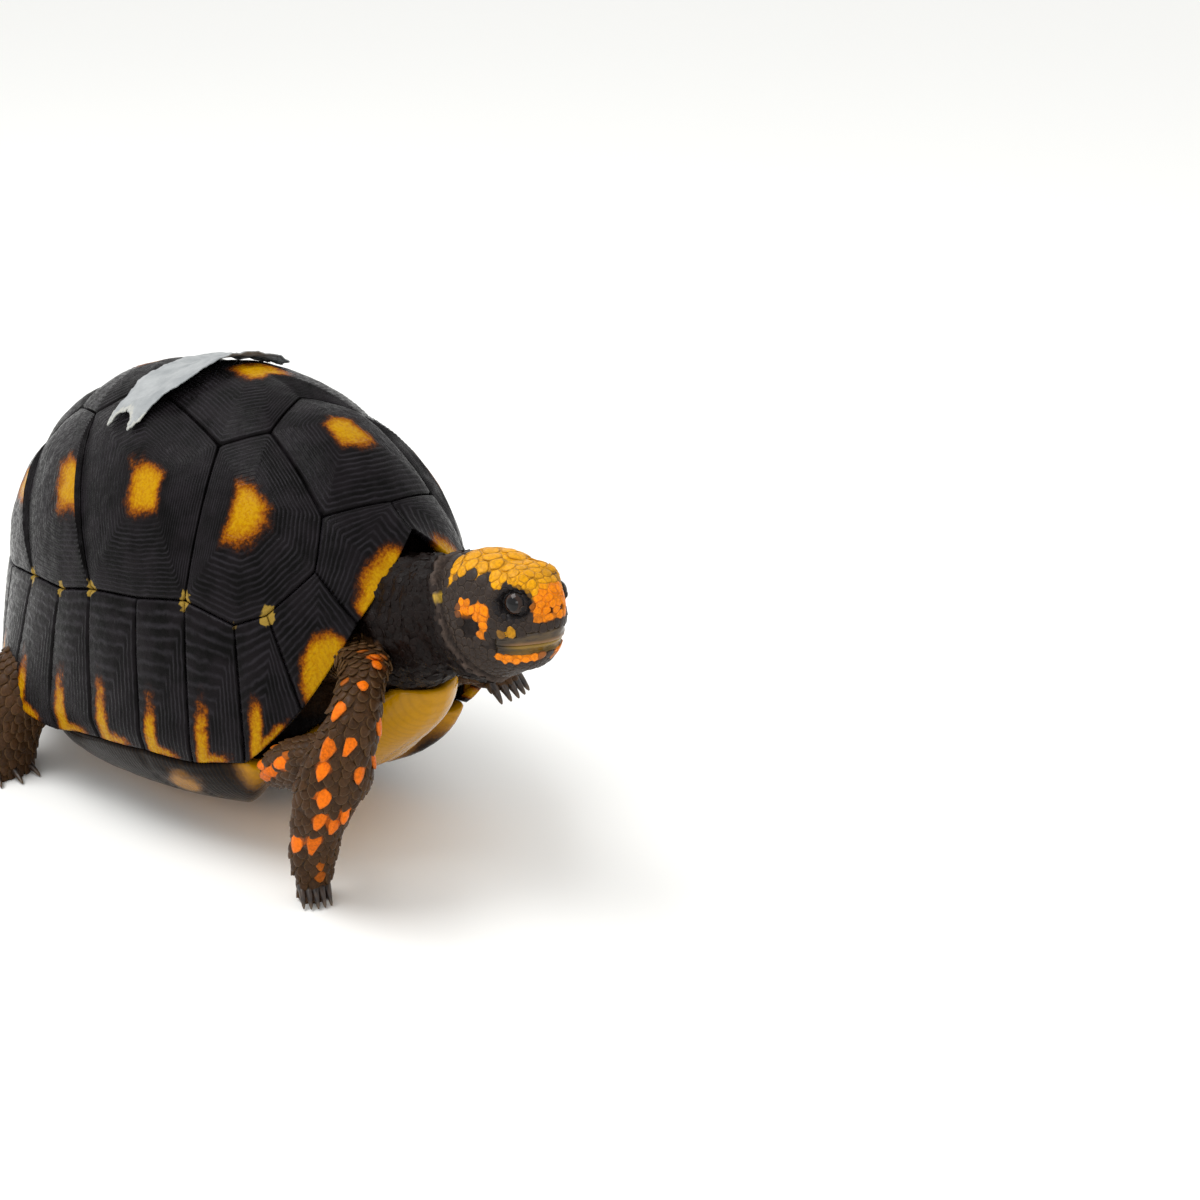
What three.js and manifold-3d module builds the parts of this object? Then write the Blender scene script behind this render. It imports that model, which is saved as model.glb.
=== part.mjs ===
// A young red-footed tortoise, walking, as a life-size still model.
// Units are millimetres. X points forward along the animal, Y to its left and Z up. The origin is on
// the floor under the middle of the whole animal.
//
// The shell is drawn in a frame of its own, centred at its widest level, and then tipped as the walking
// animal carries it. Every direction on it is a pair of degrees: the turn from straight ahead towards
// the animal's left, and the rise above the level of the centre.
import * as THREE from 'three';
import { mergeVertices } from 'three/addons/utils/BufferGeometryUtils.js';
import Module from 'manifold-3d';

const wasm = await Module();
wasm.setup();

// ---------------------------------------------------------------- driving dimensions
const shell = {
  halfLength: 86.8,
  halfWidth: 47.8,
  domeRise: 71.6,       // from the widest level up to the top
  underDepth: 40.4,     // from the widest level down to the plastron
  planPower: 2,         // an ellipse seen from above
  domePower: 2.15,
  underPower: 3.2,      // flat bottom with round sides
  frontFlare: 2.6,      // how far the front rim turns outwards
  rearFlare: 6,
};
const tilt = { noseUp: 4.4, rightSideUp: 2.6, centre: [-1.5, -2.4, 44.2] };
const thickness = { plate: 2.0, rim: 2.8, plastron: 2.8 };
const gap = 0.36;       // clear space between neighbouring pieces
const softGap = 0.6;    // and between the soft parts and the shell
const domed = { vertebral: 1.7, costal: 1.5, marginal: 0.7 };
const seamSink = 0.35;  // the plates dip this far at their seams
// The flesh lies back inside the shell's front and rear openings, by a share of its reach there.
const pocket = {
  front: { depth: 0.2, turnAt: 0, riseAt: 9, turnReach: 42, riseReach: 30 },
  rear: { depth: 0.2, turnAt: 180, riseAt: -20, turnReach: 54, riseReach: 22 },
};
const trunkForm = { around: 25, upright: 15, underPlates: 4.4, overPlastron: 7.5 };
const hindLobe = { drawnIn: 0.14 };
const foreLobe = { drawnIn: 0.16, turnReach: 22, riseReach: 20 };
const headMiddle = -8;  // the head is carried a little to the right
const eye = { x: 127.7, z: 86.9, fromMiddle: 5.8, radius: 3.2 };
const tape = {
  rightEnd: [-4, -31], leftEnd: [0, 13], width: 24, thick: 0.6, clear: 2.3, lift: 3,
  taper: 0.4, torn: 1.6, tears: 14,
};

// ---------------------------------------------------------------- colours
const paint = {
  horn: new THREE.Color('#26242a'),
  plastron: new THREE.Color('#cfa41c'),
  skin: new THREE.Color('#3d332c'),
  leg: new THREE.Color('#4a3a28'),
  head: new THREE.Color('#b8741c'),
  beak: new THREE.Color('#94793c'),
  eye: new THREE.Color('#120f10'),
  tape: new THREE.Color('#9aa0a6'),
};
const finish = (color, roughness) => new THREE.MeshStandardMaterial({ color, roughness, metalness: 0 });

// ---------------------------------------------------------------- directions and the shell's form
function direction(turn, rise) {
  const t = THREE.MathUtils.degToRad(turn);
  const r = THREE.MathUtils.degToRad(rise);
  return new THREE.Vector3(Math.cos(r) * Math.cos(t), Math.cos(r) * Math.sin(t), Math.sin(r));
}

// Seams between neighbouring marginal plates, from the nape round to the tail:
// [turn, rise] at the upper end of the seam and at the free rim.
const rimSeams = [
  { top: [0, 32.6], rim: [0, 26.7] },
  { top: [18.9, 23.0], rim: [14.0, 12.8] },
  { top: [28.8, 16.1], rim: [23.9, -2.5] },
  { top: [35.8, 14.5], rim: [35.0, -17.0] },
  { top: [48.6, 20.9], rim: [49.2, -22.6] },
  { top: [66.0, 21.7], rim: [67.0, -24.4] },
  { top: [88.7, 22.2], rim: [91.4, -26.6] },
  { top: [106.9, 18.8], rim: [119.0, -26.8] },
  { top: [126.3, 17.1], rim: [138.0, -19.0] },
  { top: [145.5, 12.6], rim: [154.0, -14.5] },
  { top: [160.0, 10.4], rim: [167.0, -15.5] },
  { top: [171.5, 9.4], rim: [174.6, -18.5] },
];

// Rise of the marginals' upper line or of the free rim at any turn, read along the seams.
function riseAlong(end, turn) {
  const t = Math.min(Math.abs(turn), 180);
  let k = 0;
  while (k < rimSeams.length - 2 && rimSeams[k + 1][end][0] < t) k += 1;
  const [t0, r0] = rimSeams[k][end];
  const [t1, r1] = rimSeams[k + 1][end];
  return r0 + (r1 - r0) * THREE.MathUtils.clamp((t - t0) / (t1 - t0), 0, 1);
}

// The rim turns outwards at the front and over the hind legs, and stays upright along the bridge.
function flareAt(turn, rise) {
  const top = riseAlong('top', turn);
  const rim = riseAlong('rim', turn);
  const down = THREE.MathUtils.clamp((top - rise) / (top - rim), 0, 1.15);
  const t = Math.abs(turn);
  const front = shell.frontFlare * (1 - THREE.MathUtils.smoothstep(t, 24, 44));
  const rear = shell.rearFlare * THREE.MathUtils.smoothstep(t, 104, 140);
  return (front + rear) * down * down;
}

// Distance from the shell's centre to its plain outer surface in a unit direction.
function baseRadius(d) {
  const { halfLength, halfWidth, domeRise, underDepth, planPower, domePower, underPower } = shell;
  const height = d.z > 0 ? domeRise : underDepth;
  const power = d.z > 0 ? domePower : underPower;
  const plan = Math.abs(d.x / halfLength) ** planPower + Math.abs(d.y / halfWidth) ** planPower;
  return (plan ** (power / planPower) + Math.abs(d.z / height) ** power) ** (-1 / power);
}

function turnAndRise(d) {
  return [
    THREE.MathUtils.radToDeg(Math.atan2(d.y, d.x)),
    THREE.MathUtils.radToDeg(Math.asin(THREE.MathUtils.clamp(d.z, -1, 1))),
  ];
}

function shellRadius(d) {
  const [turn, rise] = turnAndRise(d);
  return baseRadius(d) + (rise > riseAlong('rim', turn) - 4 ? flareAt(turn, rise) : 0);
}

const tip = new THREE.Matrix4()
  .makeTranslation(...tilt.centre)
  .multiply(new THREE.Matrix4().makeRotationX(-THREE.MathUtils.degToRad(tilt.rightSideUp)))
  .multiply(new THREE.Matrix4().makeRotationY(-THREE.MathUtils.degToRad(tilt.noseUp)));

// ---------------------------------------------------------------- closed solids
// Welds a mesh, drops its empty triangles and turns its faces outwards.
function weld(geometry) {
  geometry.deleteAttribute('normal');
  geometry.deleteAttribute('uv');
  const merged = mergeVertices(geometry, 1e-4);
  const index = merged.index.array;
  const place = merged.attributes.position;
  const kept = [];
  let volume = 0;
  const [a, b, c] = [new THREE.Vector3(), new THREE.Vector3(), new THREE.Vector3()];
  for (let k = 0; k < index.length; k += 3) {
    const [i, j, l] = [index[k], index[k + 1], index[k + 2]];
    if (i === j || j === l || l === i) continue;
    kept.push(i, j, l);
    volume += a.fromBufferAttribute(place, i).dot(
      b.fromBufferAttribute(place, j).cross(c.fromBufferAttribute(place, l)));
  }
  if (volume < 0) {
    for (let k = 0; k < kept.length; k += 3) [kept[k], kept[k + 1]] = [kept[k + 1], kept[k]];
  }
  merged.setIndex(kept);
  return merged;
}

function solid(geometry) {
  return new wasm.Manifold(new wasm.Mesh({
    numProp: 3,
    vertProperties: new Float32Array(geometry.attributes.position.array),
    triVerts: new Uint32Array(geometry.index.array),
  }));
}

function fromSolid(manifold) {
  const mesh = manifold.getMesh();
  const geometry = new THREE.BufferGeometry();
  geometry.setAttribute('position', new THREE.BufferAttribute(mesh.vertProperties, 3));
  geometry.setIndex(new THREE.BufferAttribute(mesh.triVerts, 1));
  return geometry;
}

// ---------------------------------------------------------------- plates of the shell
// The outline of a plate, drawn in by half the gap, with its long sides cut into short steps.
function drawnIn(corners, heart, surface, inset, step) {
  const sides = corners.map((corner, k) => {
    const next = corners[(k + 1) % corners.length];
    const normal = new THREE.Vector3().crossVectors(corner, next).normalize();
    return normal.dot(heart) < 0 ? normal.negate() : normal;
  });
  const moved = corners.map((corner, k) => {
    const before = sides[(k + sides.length - 1) % sides.length];
    const after = sides[k];
    const both = before.dot(after);
    const share = inset / (1 + both);
    return corner.clone().multiplyScalar(surface(corner))
      .addScaledVector(before, share).addScaledVector(after, share);
  });
  const outline = [];
  moved.forEach((from, k) => {
    const to = moved[(k + 1) % moved.length];
    const steps = Math.max(1, Math.round(from.distanceTo(to) / step));
    for (let s = 0; s < steps; s += 1) outline.push(from.clone().lerp(to, s / steps).normalize());
  });
  return outline;
}

// One plate: a round button whose rings are stretched to the plate's outline and laid on the shell.
function plateGeometry(corners, heart, form) {
  const { thick, rise, step, rings, underRings, surface = shellRadius, grow = 0, outward = 0 } = form;
  const outline = drawnIn(corners, heart, surface, gap / 2 - grow, step);
  const profile = [
    ...underRings.map((reach) => ({ reach, under: true })),
    ...rings.map((reach) => ({ reach, under: false })),
  ];
  const button = new THREE.LatheGeometry(
    profile.map((p, k) => new THREE.Vector2(p.reach, k)), outline.length);
  const place = button.attributes.position;
  const around = button.attributes.uv;
  for (let k = 0; k < place.count; k += 1) {
    const { reach, under } = profile[Math.round(around.getY(k) * (profile.length - 1))];
    const edge = outline[Math.round(around.getX(k) * outline.length) % outline.length];
    const d = heart.clone().lerp(edge, reach).normalize();
    const swell = rise * (1 - reach ** 1.6) - seamSink * reach ** 6;
    const radius = surface(d) + (under ? -thick - grow : swell + grow + outward);
    place.setXYZ(k, d.x * radius, d.y * radius, d.z * radius);
  }
  return weld(button.applyMatrix4(tip));
}

const middleOf = (corners) => corners.reduce((sum, c) => sum.add(c), new THREE.Vector3()).normalize();
const mirrored = (points) => points.map(([turn, rise]) => [-turn, rise]);

// Corners where the large plates meet, on the animal's left side: V is vertebral, M is marginal.
const V1_M1 = [15.3, 32.8];
const V1_V2 = [20.4, 54.8];
const V2_side = [38.2, 55.5];
const V2_V3 = [116.6, 73.8];
const V3_side = [134, 59.5];
const V3_V4 = [154, 52.5];
const V4_side = [157.6, 39];
const V4_V5 = [165.6, 31];
const top = (k) => rimSeams[k].top;
const rim = (k) => rimSeams[k].rim;
const nape = [0, 32.6];
const rump = [180, 9.2];
const tailRim = [180, -20.5];

// Each vertebral: where its front and back edges cross the middle line, the corners between them on
// the left, and its heart, the old centre that the growth rings surround.
const vertebrals = [
  { front: nape, half: [V1_M1, V1_V2], back: [0, 63.4], heart: [0, 50.1] },
  { front: [0, 63.4], half: [V1_V2, V2_side, V2_V3], back: [180, 79.5], heart: [0, 82.5] },
  { front: [180, 79.5], half: [V2_V3, V3_side, V3_V4], back: [180, 54.5], heart: [180, 68] },
  { front: [180, 54.5], half: [V3_V4, V4_side, V4_V5], back: [180, 32.5], heart: [180, 43.5] },
  { front: [180, 32.5], half: [V4_V5, top(10), top(11)], back: rump, heart: [180, 22] },
];
const costals = [
  { corners: [V1_M1, top(1), top(2), top(3), top(4), V2_side, V1_V2], heart: [31.3, 38.4] },
  { corners: [V2_side, top(4), top(5), top(6), V3_side, V2_V3], heart: [64.6, 48.8] },
  { corners: [V3_side, top(6), top(7), top(8), V4_side, V3_V4], heart: [110.5, 47] },
  { corners: [V4_side, top(8), top(9), top(10), V4_V5], heart: [147.6, 33] },
];
const toDirections = (points) => points.map(([turn, rise]) => direction(turn, rise));

const discForm = { step: 8.4, rings: [1, 0.55, 0.2, 0], underRings: [0, 0.55, 1], thick: thickness.plate };
function vertebralPlate({ front, half, back, heart }) {
  const outline = toDirections([front, ...half, back, ...mirrored(half).reverse()]);
  return plateGeometry(outline, direction(...heart), { ...discForm, rise: domed.vertebral });
}

function costalPlate({ corners, heart }, onRight) {
  const points = onRight ? mirrored([heart, ...corners]) : [heart, ...corners];
  const [middle, ...outline] = toDirections(points);
  return plateGeometry(outline, middle, { ...discForm, rise: domed.costal });
}

const rimForm = {
  step: 9.5, rings: [1, 0.5, 0], underRings: [0, 1], thick: thickness.rim, rise: domed.marginal,
};
function marginalPlate(number, onRight, spare = {}) {
  const upper = number === 1 ? [top(0), V1_M1, top(1)] : [top(number - 1), top(number)];
  const points = [...upper, rim(number), rim(number - 1)];
  const outline = toDirections(onRight ? mirrored(points) : points);
  return plateGeometry(outline, middleOf(outline), { ...rimForm, ...spare });
}

function supracaudalPlate(spare = {}) {
  const outline = toDirections([rump, top(11), rim(11), tailRim, ...mirrored([rim(11), top(11)])]);
  return plateGeometry(outline, middleOf(outline), { ...rimForm, ...spare });
}

// The plastron is shorter than the shell behind, so its hind lobe lies inside the rear rim. Its fore
// lobe runs out to a narrow tip between the forelegs, and falls back at both sides and below it.
function plastronRadius(d) {
  const [turn, rise] = turnAndRise(d);
  const behind = hindLobe.drawnIn * THREE.MathUtils.smoothstep(-d.x, 0.45, 0.95);
  const fromTip = Math.hypot(turn / foreLobe.turnReach, rise / foreLobe.riseReach);
  const beforeBridge = 1 - THREE.MathUtils.smoothstep(Math.abs(turn), 24, 35);
  const before = foreLobe.drawnIn * THREE.MathUtils.smoothstep(d.x, 0.35, 0.85)
    * THREE.MathUtils.smoothstep(fromTip, 0, 1) * beforeBridge;
  return baseRadius(d) * (1 - behind - before);
}
// Its left half: the gular lobe, the bridge against the rim plates, the narrower hind lobe.
const plastronHalf = [
  [6.8, 0], [15, -8], [23.4, -16.6], [30, -19],
  rim(3), rim(4), rim(5), rim(6), rim(7),
  [127.0, -27.6], [136.9, -32.5], [150.5, -30], [167.5, -25.5],
];
const plastronForm = {
  step: 12, rings: [1, 0.86, 0.72, 0.52, 0], underRings: [0, 0.52, 0.72, 0.86, 1],
  thick: thickness.plastron, rise: 0, surface: plastronRadius,
};
function plastronPlate(spare = {}) {
  const half = plastronHalf;
  const outline = toDirections([[0, -0.8], ...half, [180, -32], ...mirrored(half).reverse()]);
  return plateGeometry(outline, direction(0, -90), { ...plastronForm, ...spare });
}

// ---------------------------------------------------------------- the trunk inside the shell
// A soft hollow in the trunk: 1 in the middle of its oval, 0 outside it.
function hollowAt(turn, rise, { turnAt, riseAt, turnReach, riseReach }) {
  const across = (Math.abs(turn) - turnAt) / turnReach;
  const upright = (rise - riseAt) / riseReach;
  return 1 - THREE.MathUtils.smoothstep(Math.hypot(across, upright), 0.62, 1.1);
}

function trunkGeometry(grow = 0) {
  const ball = new THREE.SphereGeometry(1, trunkForm.around, trunkForm.upright);
  ball.rotateX(Math.PI / 2);
  const place = ball.attributes.position;
  const d = new THREE.Vector3();
  for (let k = 0; k < place.count; k += 1) {
    d.fromBufferAttribute(place, k).normalize();
    const [turn, rise] = turnAndRise(d);
    const low = THREE.MathUtils.smoothstep(-rise, 12, 26);
    const clear = THREE.MathUtils.lerp(trunkForm.underPlates, trunkForm.overPlastron, low);
    const full = (rise < 0 ? plastronRadius(d) : baseRadius(d)) - clear;
    const sunk = 1 - pocket.front.depth * hollowAt(turn, rise, pocket.front)
      - pocket.rear.depth * hollowAt(turn, rise, pocket.rear);
    const radius = full * sunk + grow;
    place.setXYZ(k, d.x * radius, d.y * radius, d.z * radius);
  }
  return weld(ball.applyMatrix4(tip));
}

// ---------------------------------------------------------------- soft parts drawn through sections
const upward = new THREE.Vector3(0, 0, 1);
const leftward = new THREE.Vector3(0, 1, 0);
const level = (x, y) => new THREE.Vector3(x, y, 0).normalize();

// Each station has its place, its two half widths, and how far its ring leans: at 0 the deep axis
// lies as given, at 90 degrees it points up. `square` above 2 makes the rings fuller at the corners.
function sweep(stations, wideAxis, deepAxis, { around = 16, along = 10, square = 2.2, grow = 0 }) {
  const path = new THREE.CatmullRomCurve3(stations.map(({ at }) => new THREE.Vector3(...at)));
  const sizes = new THREE.CatmullRomCurve3(
    stations.map(({ wide, deep, lean = 0 }) => new THREE.Vector3(wide + grow, deep + grow, lean)));
  const tube = new THREE.CylinderGeometry(1, 1, 1, around, along);
  const place = tube.attributes.position;
  for (let k = 0; k < place.count; k += 1) {
    const t = THREE.MathUtils.clamp(0.5 - place.getY(k), 0, 1);
    const [wide, deep, lean] = sizes.getPoint(t).toArray();
    const reach = Math.hypot(place.getX(k), place.getZ(k));
    const turn = Math.atan2(place.getZ(k), place.getX(k));
    const [c, s] = [Math.cos(turn), Math.sin(turn)];
    const fullness = reach * (Math.abs(c) ** square + Math.abs(s) ** square) ** (-1 / square);
    const tipped = THREE.MathUtils.degToRad(lean);
    const at = path.getPoint(t)
      .addScaledVector(wideAxis, fullness * c * wide)
      .addScaledVector(deepAxis, fullness * s * deep * Math.cos(tipped))
      .addScaledVector(upward, fullness * s * deep * Math.sin(tipped));
    place.setXYZ(k, at.x, at.y, at.z);
  }
  return weld(tube);
}

// The head begins behind the jaws; the loose skin of the neck wraps its back like a hood.
const headBack = 104;
const neckStations = [
  { at: [50, 0, 60], wide: 16, deep: 17.5 },
  { at: [62, -1, 62], wide: 16, deep: 17.8 },
  { at: [74, -3, 65], wide: 15.4, deep: 17.6 },
  { at: [86, -5.4, 69], wide: 14.2, deep: 17 },
  { at: [96, headMiddle, 73.6], wide: 12.8, deep: 16 },
  { at: [headBack - gap, headMiddle, 77], wide: 11.4, deep: 15 },
];
function neckGeometry(grow = 0) {
  return sweep(neckStations, leftward, upward, { around: 14, along: 5, grow });
}

const headStations = [
  { x: headBack, z: 77.2, wide: 11.4, deep: 15.2 },
  { x: 108, z: 77.8, wide: 12.3, deep: 16.5 },
  { x: 113, z: 78.6, wide: 12.6, deep: 16.6 },
  { x: 118.5, z: 80, wide: 12, deep: 15.4 },
  { x: 124, z: 81, wide: 10.8, deep: 13.9 },
  { x: 128.6, z: 81.8, wide: 9, deep: 12.4 },
  { x: 131.6, z: 82.8, wide: 6.5, deep: 10 },
  { x: 133.8, z: 84.2, wide: 4.1, deep: 7 },
  { x: 134.9, z: 85.4, wide: 2.1, deep: 3.6 },
].map(({ x, z, wide, deep }) => ({ at: [x, headMiddle, z], wide, deep }));

// The horn of each jaw is a band across the head between two lines that climb towards the front,
// given by their heights at the corner of the mouth and at the tip of the snout.
const mouth = { cornerX: 123.6, tipX: 142 };
const jawDepth = 40;
function jawBand(low, high, back) {
  const outline = new THREE.Shape([
    new THREE.Vector2(back, low.corner), new THREE.Vector2(mouth.tipX, low.tip),
    new THREE.Vector2(mouth.tipX, high.tip), new THREE.Vector2(back, high.corner),
  ]);
  const band = new THREE.ExtrudeGeometry(outline, { depth: jawDepth, bevelEnabled: false });
  band.rotateX(Math.PI / 2);
  band.translate(0, headMiddle + jawDepth / 2, 0);
  return solid(weld(band));
}
const upperLine = { corner: 77.9, tip: 83.3 };
const lipLine = { corner: 76.2, tip: 78.6 };
const chinLine = { corner: 74.2, tip: 75 };
const shifted = (line, by) => ({ corner: line.corner + by, tip: line.tip + by });

function eyeBall(side, radius) {
  const ball = new THREE.SphereGeometry(radius, 12, 8);
  ball.rotateX(Math.PI / 2);
  ball.translate(eye.x, headMiddle + side * eye.fromMiddle, eye.z);
  return weld(ball);
}

// ---------------------------------------------------------------- legs
// Claws stand in a row along the front of a foot and point down; their heights are above its sole.
function clawsOn({ stations, aim, claws, spread, claw: own = {} }) {
  const claw = { ...plainClaw, ...own };
  const foot = new THREE.Vector3(...stations.at(-1).at);
  const across = new THREE.Vector3().crossVectors(upward, aim);
  return Array.from({ length: claws }, (_, k) => {
    const share = (2 * k) / (claws - 1) - 1;
    const point = aim.clone().addScaledVector(across, share * claw.splay).normalize();
    const root = foot.clone().addScaledVector(across, share * spread)
      .addScaledVector(aim, claw.rootReach * (1 - 0.4 * share * share))
      .addScaledVector(upward, claw.rootHeight);
    const end = root.clone().addScaledVector(point, claw.length).setZ(foot.z + claw.tipHeight);
    const middle = root.clone().lerp(end, 0.5).addScaledVector(upward, claw.arch);
    return solid(sweep([
      { at: root.toArray(), wide: claw.radius, deep: claw.radius },
      { at: middle.toArray(), wide: claw.radius * 0.8, deep: claw.radius * 0.8 },
      { at: end.toArray(), wide: claw.tipRadius, deep: claw.tipRadius },
    ], level(-point.y, point.x), upward, { around: 5, along: 2, square: 2 }));
  });
}
const plainClaw = {
  length: 8.4, radius: 1.5, tipRadius: 0.35, rootHeight: 2.9, tipHeight: 0.5, arch: 0.5,
  rootReach: 2.6, splay: 0.3,
};

function legSolid(leg) {
  const { stations, wideAxis, deepAxis, elbow } = leg;
  let column = solid(sweep(stations, wideAxis, deepAxis, { around: 11, along: 9 }));
  if (elbow) column = column.add(solid(sweep(elbow, leftward, upward, { around: 8, along: 4 })));
  return clawsOn(leg).reduce((whole, one) => whole.add(one), column);
}

const legs = {
  // The right foreleg reaches forward under the raised front of the shell and bears the animal's weight.
  foreleg_right: {
    stations: [
      { at: [52, -13, 52], wide: 9, deep: 9, lean: 75 },
      { at: [66, -16, 56], wide: 8, deep: 8, lean: 68 },
      { at: [80, -22.5, 60.5], wide: 7, deep: 7, lean: 48 },
      { at: [89.5, -30.5, 61], wide: 6.2, deep: 6.2, lean: 24 },
      { at: [93, -35.5, 55.5], wide: 6.6, deep: 6.6, lean: 10 },
      { at: [91.2, -38, 46.7], wide: 8.2, deep: 7, lean: 4 },
      { at: [88, -39, 36.9], wide: 9.2, deep: 6.8, lean: -8 },
      { at: [82.4, -39, 25.6], wide: 7.3, deep: 6, lean: -14 },
      { at: [77.4, -38, 14.1], wide: 6, deep: 4.8, lean: -12 },
      { at: [75.6, -37.2, 6.4], wide: 4.8, deep: 4, lean: -4 },
      { at: [75, -37, 0], wide: 3.9, deep: 3.6, lean: 0 },
    ],
    wideAxis: level(0.45, 0.89), deepAxis: level(0.89, -0.45), aim: level(0.89, -0.45),
    // The bent elbow stands out behind the forearm.
    elbow: [
      { at: [86, -37, 42], wide: 7, deep: 7 },
      { at: [76, -37.6, 38], wide: 7, deep: 6.8 },
      { at: [67, -37.4, 34.4], wide: 6.4, deep: 6.2 },
      { at: [60.6, -36.4, 31.8], wide: 4.6, deep: 4.4 },
      { at: [57.6, -35.6, 30.6], wide: 1.5, deep: 1.5 },
    ],
    claws: 5, spread: 3, claw: { length: 5.2, radius: 1.3, rootHeight: 4.6, rootReach: 2.4, splay: 0.1 },
  },
  // The left foreleg is lifted in the middle of its step, with its claws below the chin.
  foreleg_left: {
    stations: [
      { at: [50, 15, 50], wide: 10, deep: 10, lean: 70 },
      { at: [58, 20, 47.4], wide: 10, deep: 9.4, lean: 64 },
      { at: [64.4, 24.4, 44.2], wide: 9, deep: 8, lean: 52 },
      { at: [68.4, 27, 43], wide: 7.6, deep: 6.8, lean: 34 },
      { at: [70.2, 28.2, 41], wide: 6.4, deep: 5.8, lean: 10 },
      { at: [70.6, 28.4, 39.4], wide: 5.4, deep: 5, lean: 0 },
    ],
    wideAxis: level(-0.34, 0.94), deepAxis: level(0.94, 0.34), aim: level(0.94, 0.2),
    claws: 5, spread: 5, claw: { length: 5, radius: 1.7, rootHeight: 2.2, tipHeight: -2.6, splay: 0.2 },
  },
  hindleg_right: {
    stations: [
      { at: [-38, -14, 36], wide: 12, deep: 12, lean: 55 },
      { at: [-43, -26, 34], wide: 12.6, deep: 12, lean: 50 },
      { at: [-47, -36, 28], wide: 12.6, deep: 11.6, lean: 35 },
      { at: [-50, -43.5, 20], wide: 11.8, deep: 11, lean: 16 },
      { at: [-51.4, -48.4, 11], wide: 10.8, deep: 10.4, lean: 4 },
      { at: [-52, -50.4, 4], wide: 10.6, deep: 10.4, lean: 0 },
      { at: [-52, -51, 0], wide: 10.2, deep: 10, lean: 0 },
    ],
    wideAxis: level(0.97, 0.25), deepAxis: level(0.25, -0.97), aim: level(0.97, -0.25),
    claws: 4, spread: 6.4, claw: { rootReach: 7 },
  },
  // The left hind leg has just come forward under the bridge.
  hindleg_left: {
    stations: [
      { at: [-42, 14, 33], wide: 12, deep: 12, lean: 55 },
      { at: [-42, 25, 31], wide: 12.6, deep: 12, lean: 50 },
      { at: [-40, 34, 26], wide: 12.6, deep: 11.6, lean: 35 },
      { at: [-37, 41, 19], wide: 11.8, deep: 11, lean: 16 },
      { at: [-34.6, 45.6, 10.4], wide: 10.8, deep: 10.4, lean: 4 },
      { at: [-34, 47.4, 4], wide: 10.6, deep: 10.4, lean: 0 },
      { at: [-34, 48, 0], wide: 10.2, deep: 10, lean: 0 },
    ],
    wideAxis: level(0.97, -0.25), deepAxis: level(0.25, 0.97), aim: level(0.97, 0.25),
    claws: 4, spread: 6.4, claw: { rootReach: 7 },
  },
};

const tailStations = [
  { at: [-58, 0, 33], wide: 8, deep: 7 },
  { at: [-68, -0.6, 30], wide: 7, deep: 6.2 },
  { at: [-76, -2.4, 26], wide: 5.4, deep: 5 },
  { at: [-82, -5.6, 21], wide: 3.6, deep: 3.5 },
  { at: [-85.6, -9.4, 16.4], wide: 1, deep: 1 },
];

// ---------------------------------------------------------------- the tape on the back
// A strip of cloth tape lies across the highest plates, from the right side over the middle line.
// The edge towards the head stands a little off the plates and the right end is torn.
function tapeGeometry() {
  const strip = new THREE.BoxGeometry(1, 1, 1, 8, 4, 1);
  const place = strip.attributes.position;
  const from = new THREE.Vector2(...tape.rightEnd);
  const run = new THREE.Vector2(...tape.leftEnd).sub(from);
  const along = run.clone().normalize();
  const across = new THREE.Vector2(along.y, -along.x);
  for (let k = 0; k < place.count; k += 1) {
    const share = place.getX(k) + 0.5;
    const side = place.getY(k);
    const width = tape.width * (1 - tape.taper * (1 - THREE.MathUtils.smoothstep(share, 0, 0.35)));
    const torn = share < 0.01 ? tape.torn * Math.sin(tape.tears * side) : 0;
    const spot = from.clone().addScaledVector(run, share)
      .addScaledVector(across, side * width).addScaledVector(along, torn);
    const d = onShellBelow(spot);
    const lifted = tape.lift * THREE.MathUtils.smoothstep(side, 0, 0.5) * Math.sin(Math.PI * share);
    const radius = shellRadius(d) + tape.clear + lifted + (place.getZ(k) > 0 ? tape.thick : 0);
    place.setXYZ(k, d.x * radius, d.y * radius, d.z * radius);
  }
  return weld(strip.applyMatrix4(tip));
}

// The direction in which an upright line through a spot seen from above meets the shell.
function onShellBelow({ x, y }) {
  const d = new THREE.Vector3(x, y, shell.domeRise);
  for (let round = 0; round < 8; round += 1) {
    const radius = shellRadius(d.clone().normalize());
    d.z = Math.sqrt(Math.max(1, radius * radius - x * x - y * y));
  }
  return d.normalize();
}

// ---------------------------------------------------------------- the animal
const animal = new THREE.Group();
function addPart(name, geometry, color, roughness) {
  const mesh = new THREE.Mesh(geometry, finish(color, roughness));
  mesh.name = name;
  animal.add(mesh);
}
// The largest body of a cut solid; the slivers a cut leaves behind are dropped.
function largest(manifold) {
  const bodies = manifold.decompose();
  return bodies.reduce((best, body) => (body.volume() > best.volume() ? body : best));
}

vertebrals.forEach((plate, k) => addPart(`vertebral_${k + 1}`, vertebralPlate(plate), paint.horn, 0.35));
for (const side of ['left', 'right']) {
  const onRight = side === 'right';
  costals.forEach((plate, k) => {
    addPart(`costal_${side}_${k + 1}`, costalPlate(plate, onRight), paint.horn, 0.35);
  });
  for (let number = 1; number < rimSeams.length; number += 1) {
    addPart(`marginal_${side}_${number}`, marginalPlate(number, onRight), paint.horn, 0.35);
  }
}
addPart('supracaudal', supracaudalPlate(), paint.horn, 0.35);
addPart('plastron', plastronPlate(), paint.plastron, 0.4);
addPart('tape_patch', tapeGeometry(), paint.tape, 0.5);
addPart('trunk', trunkGeometry(), paint.skin, 0.75);

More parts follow.
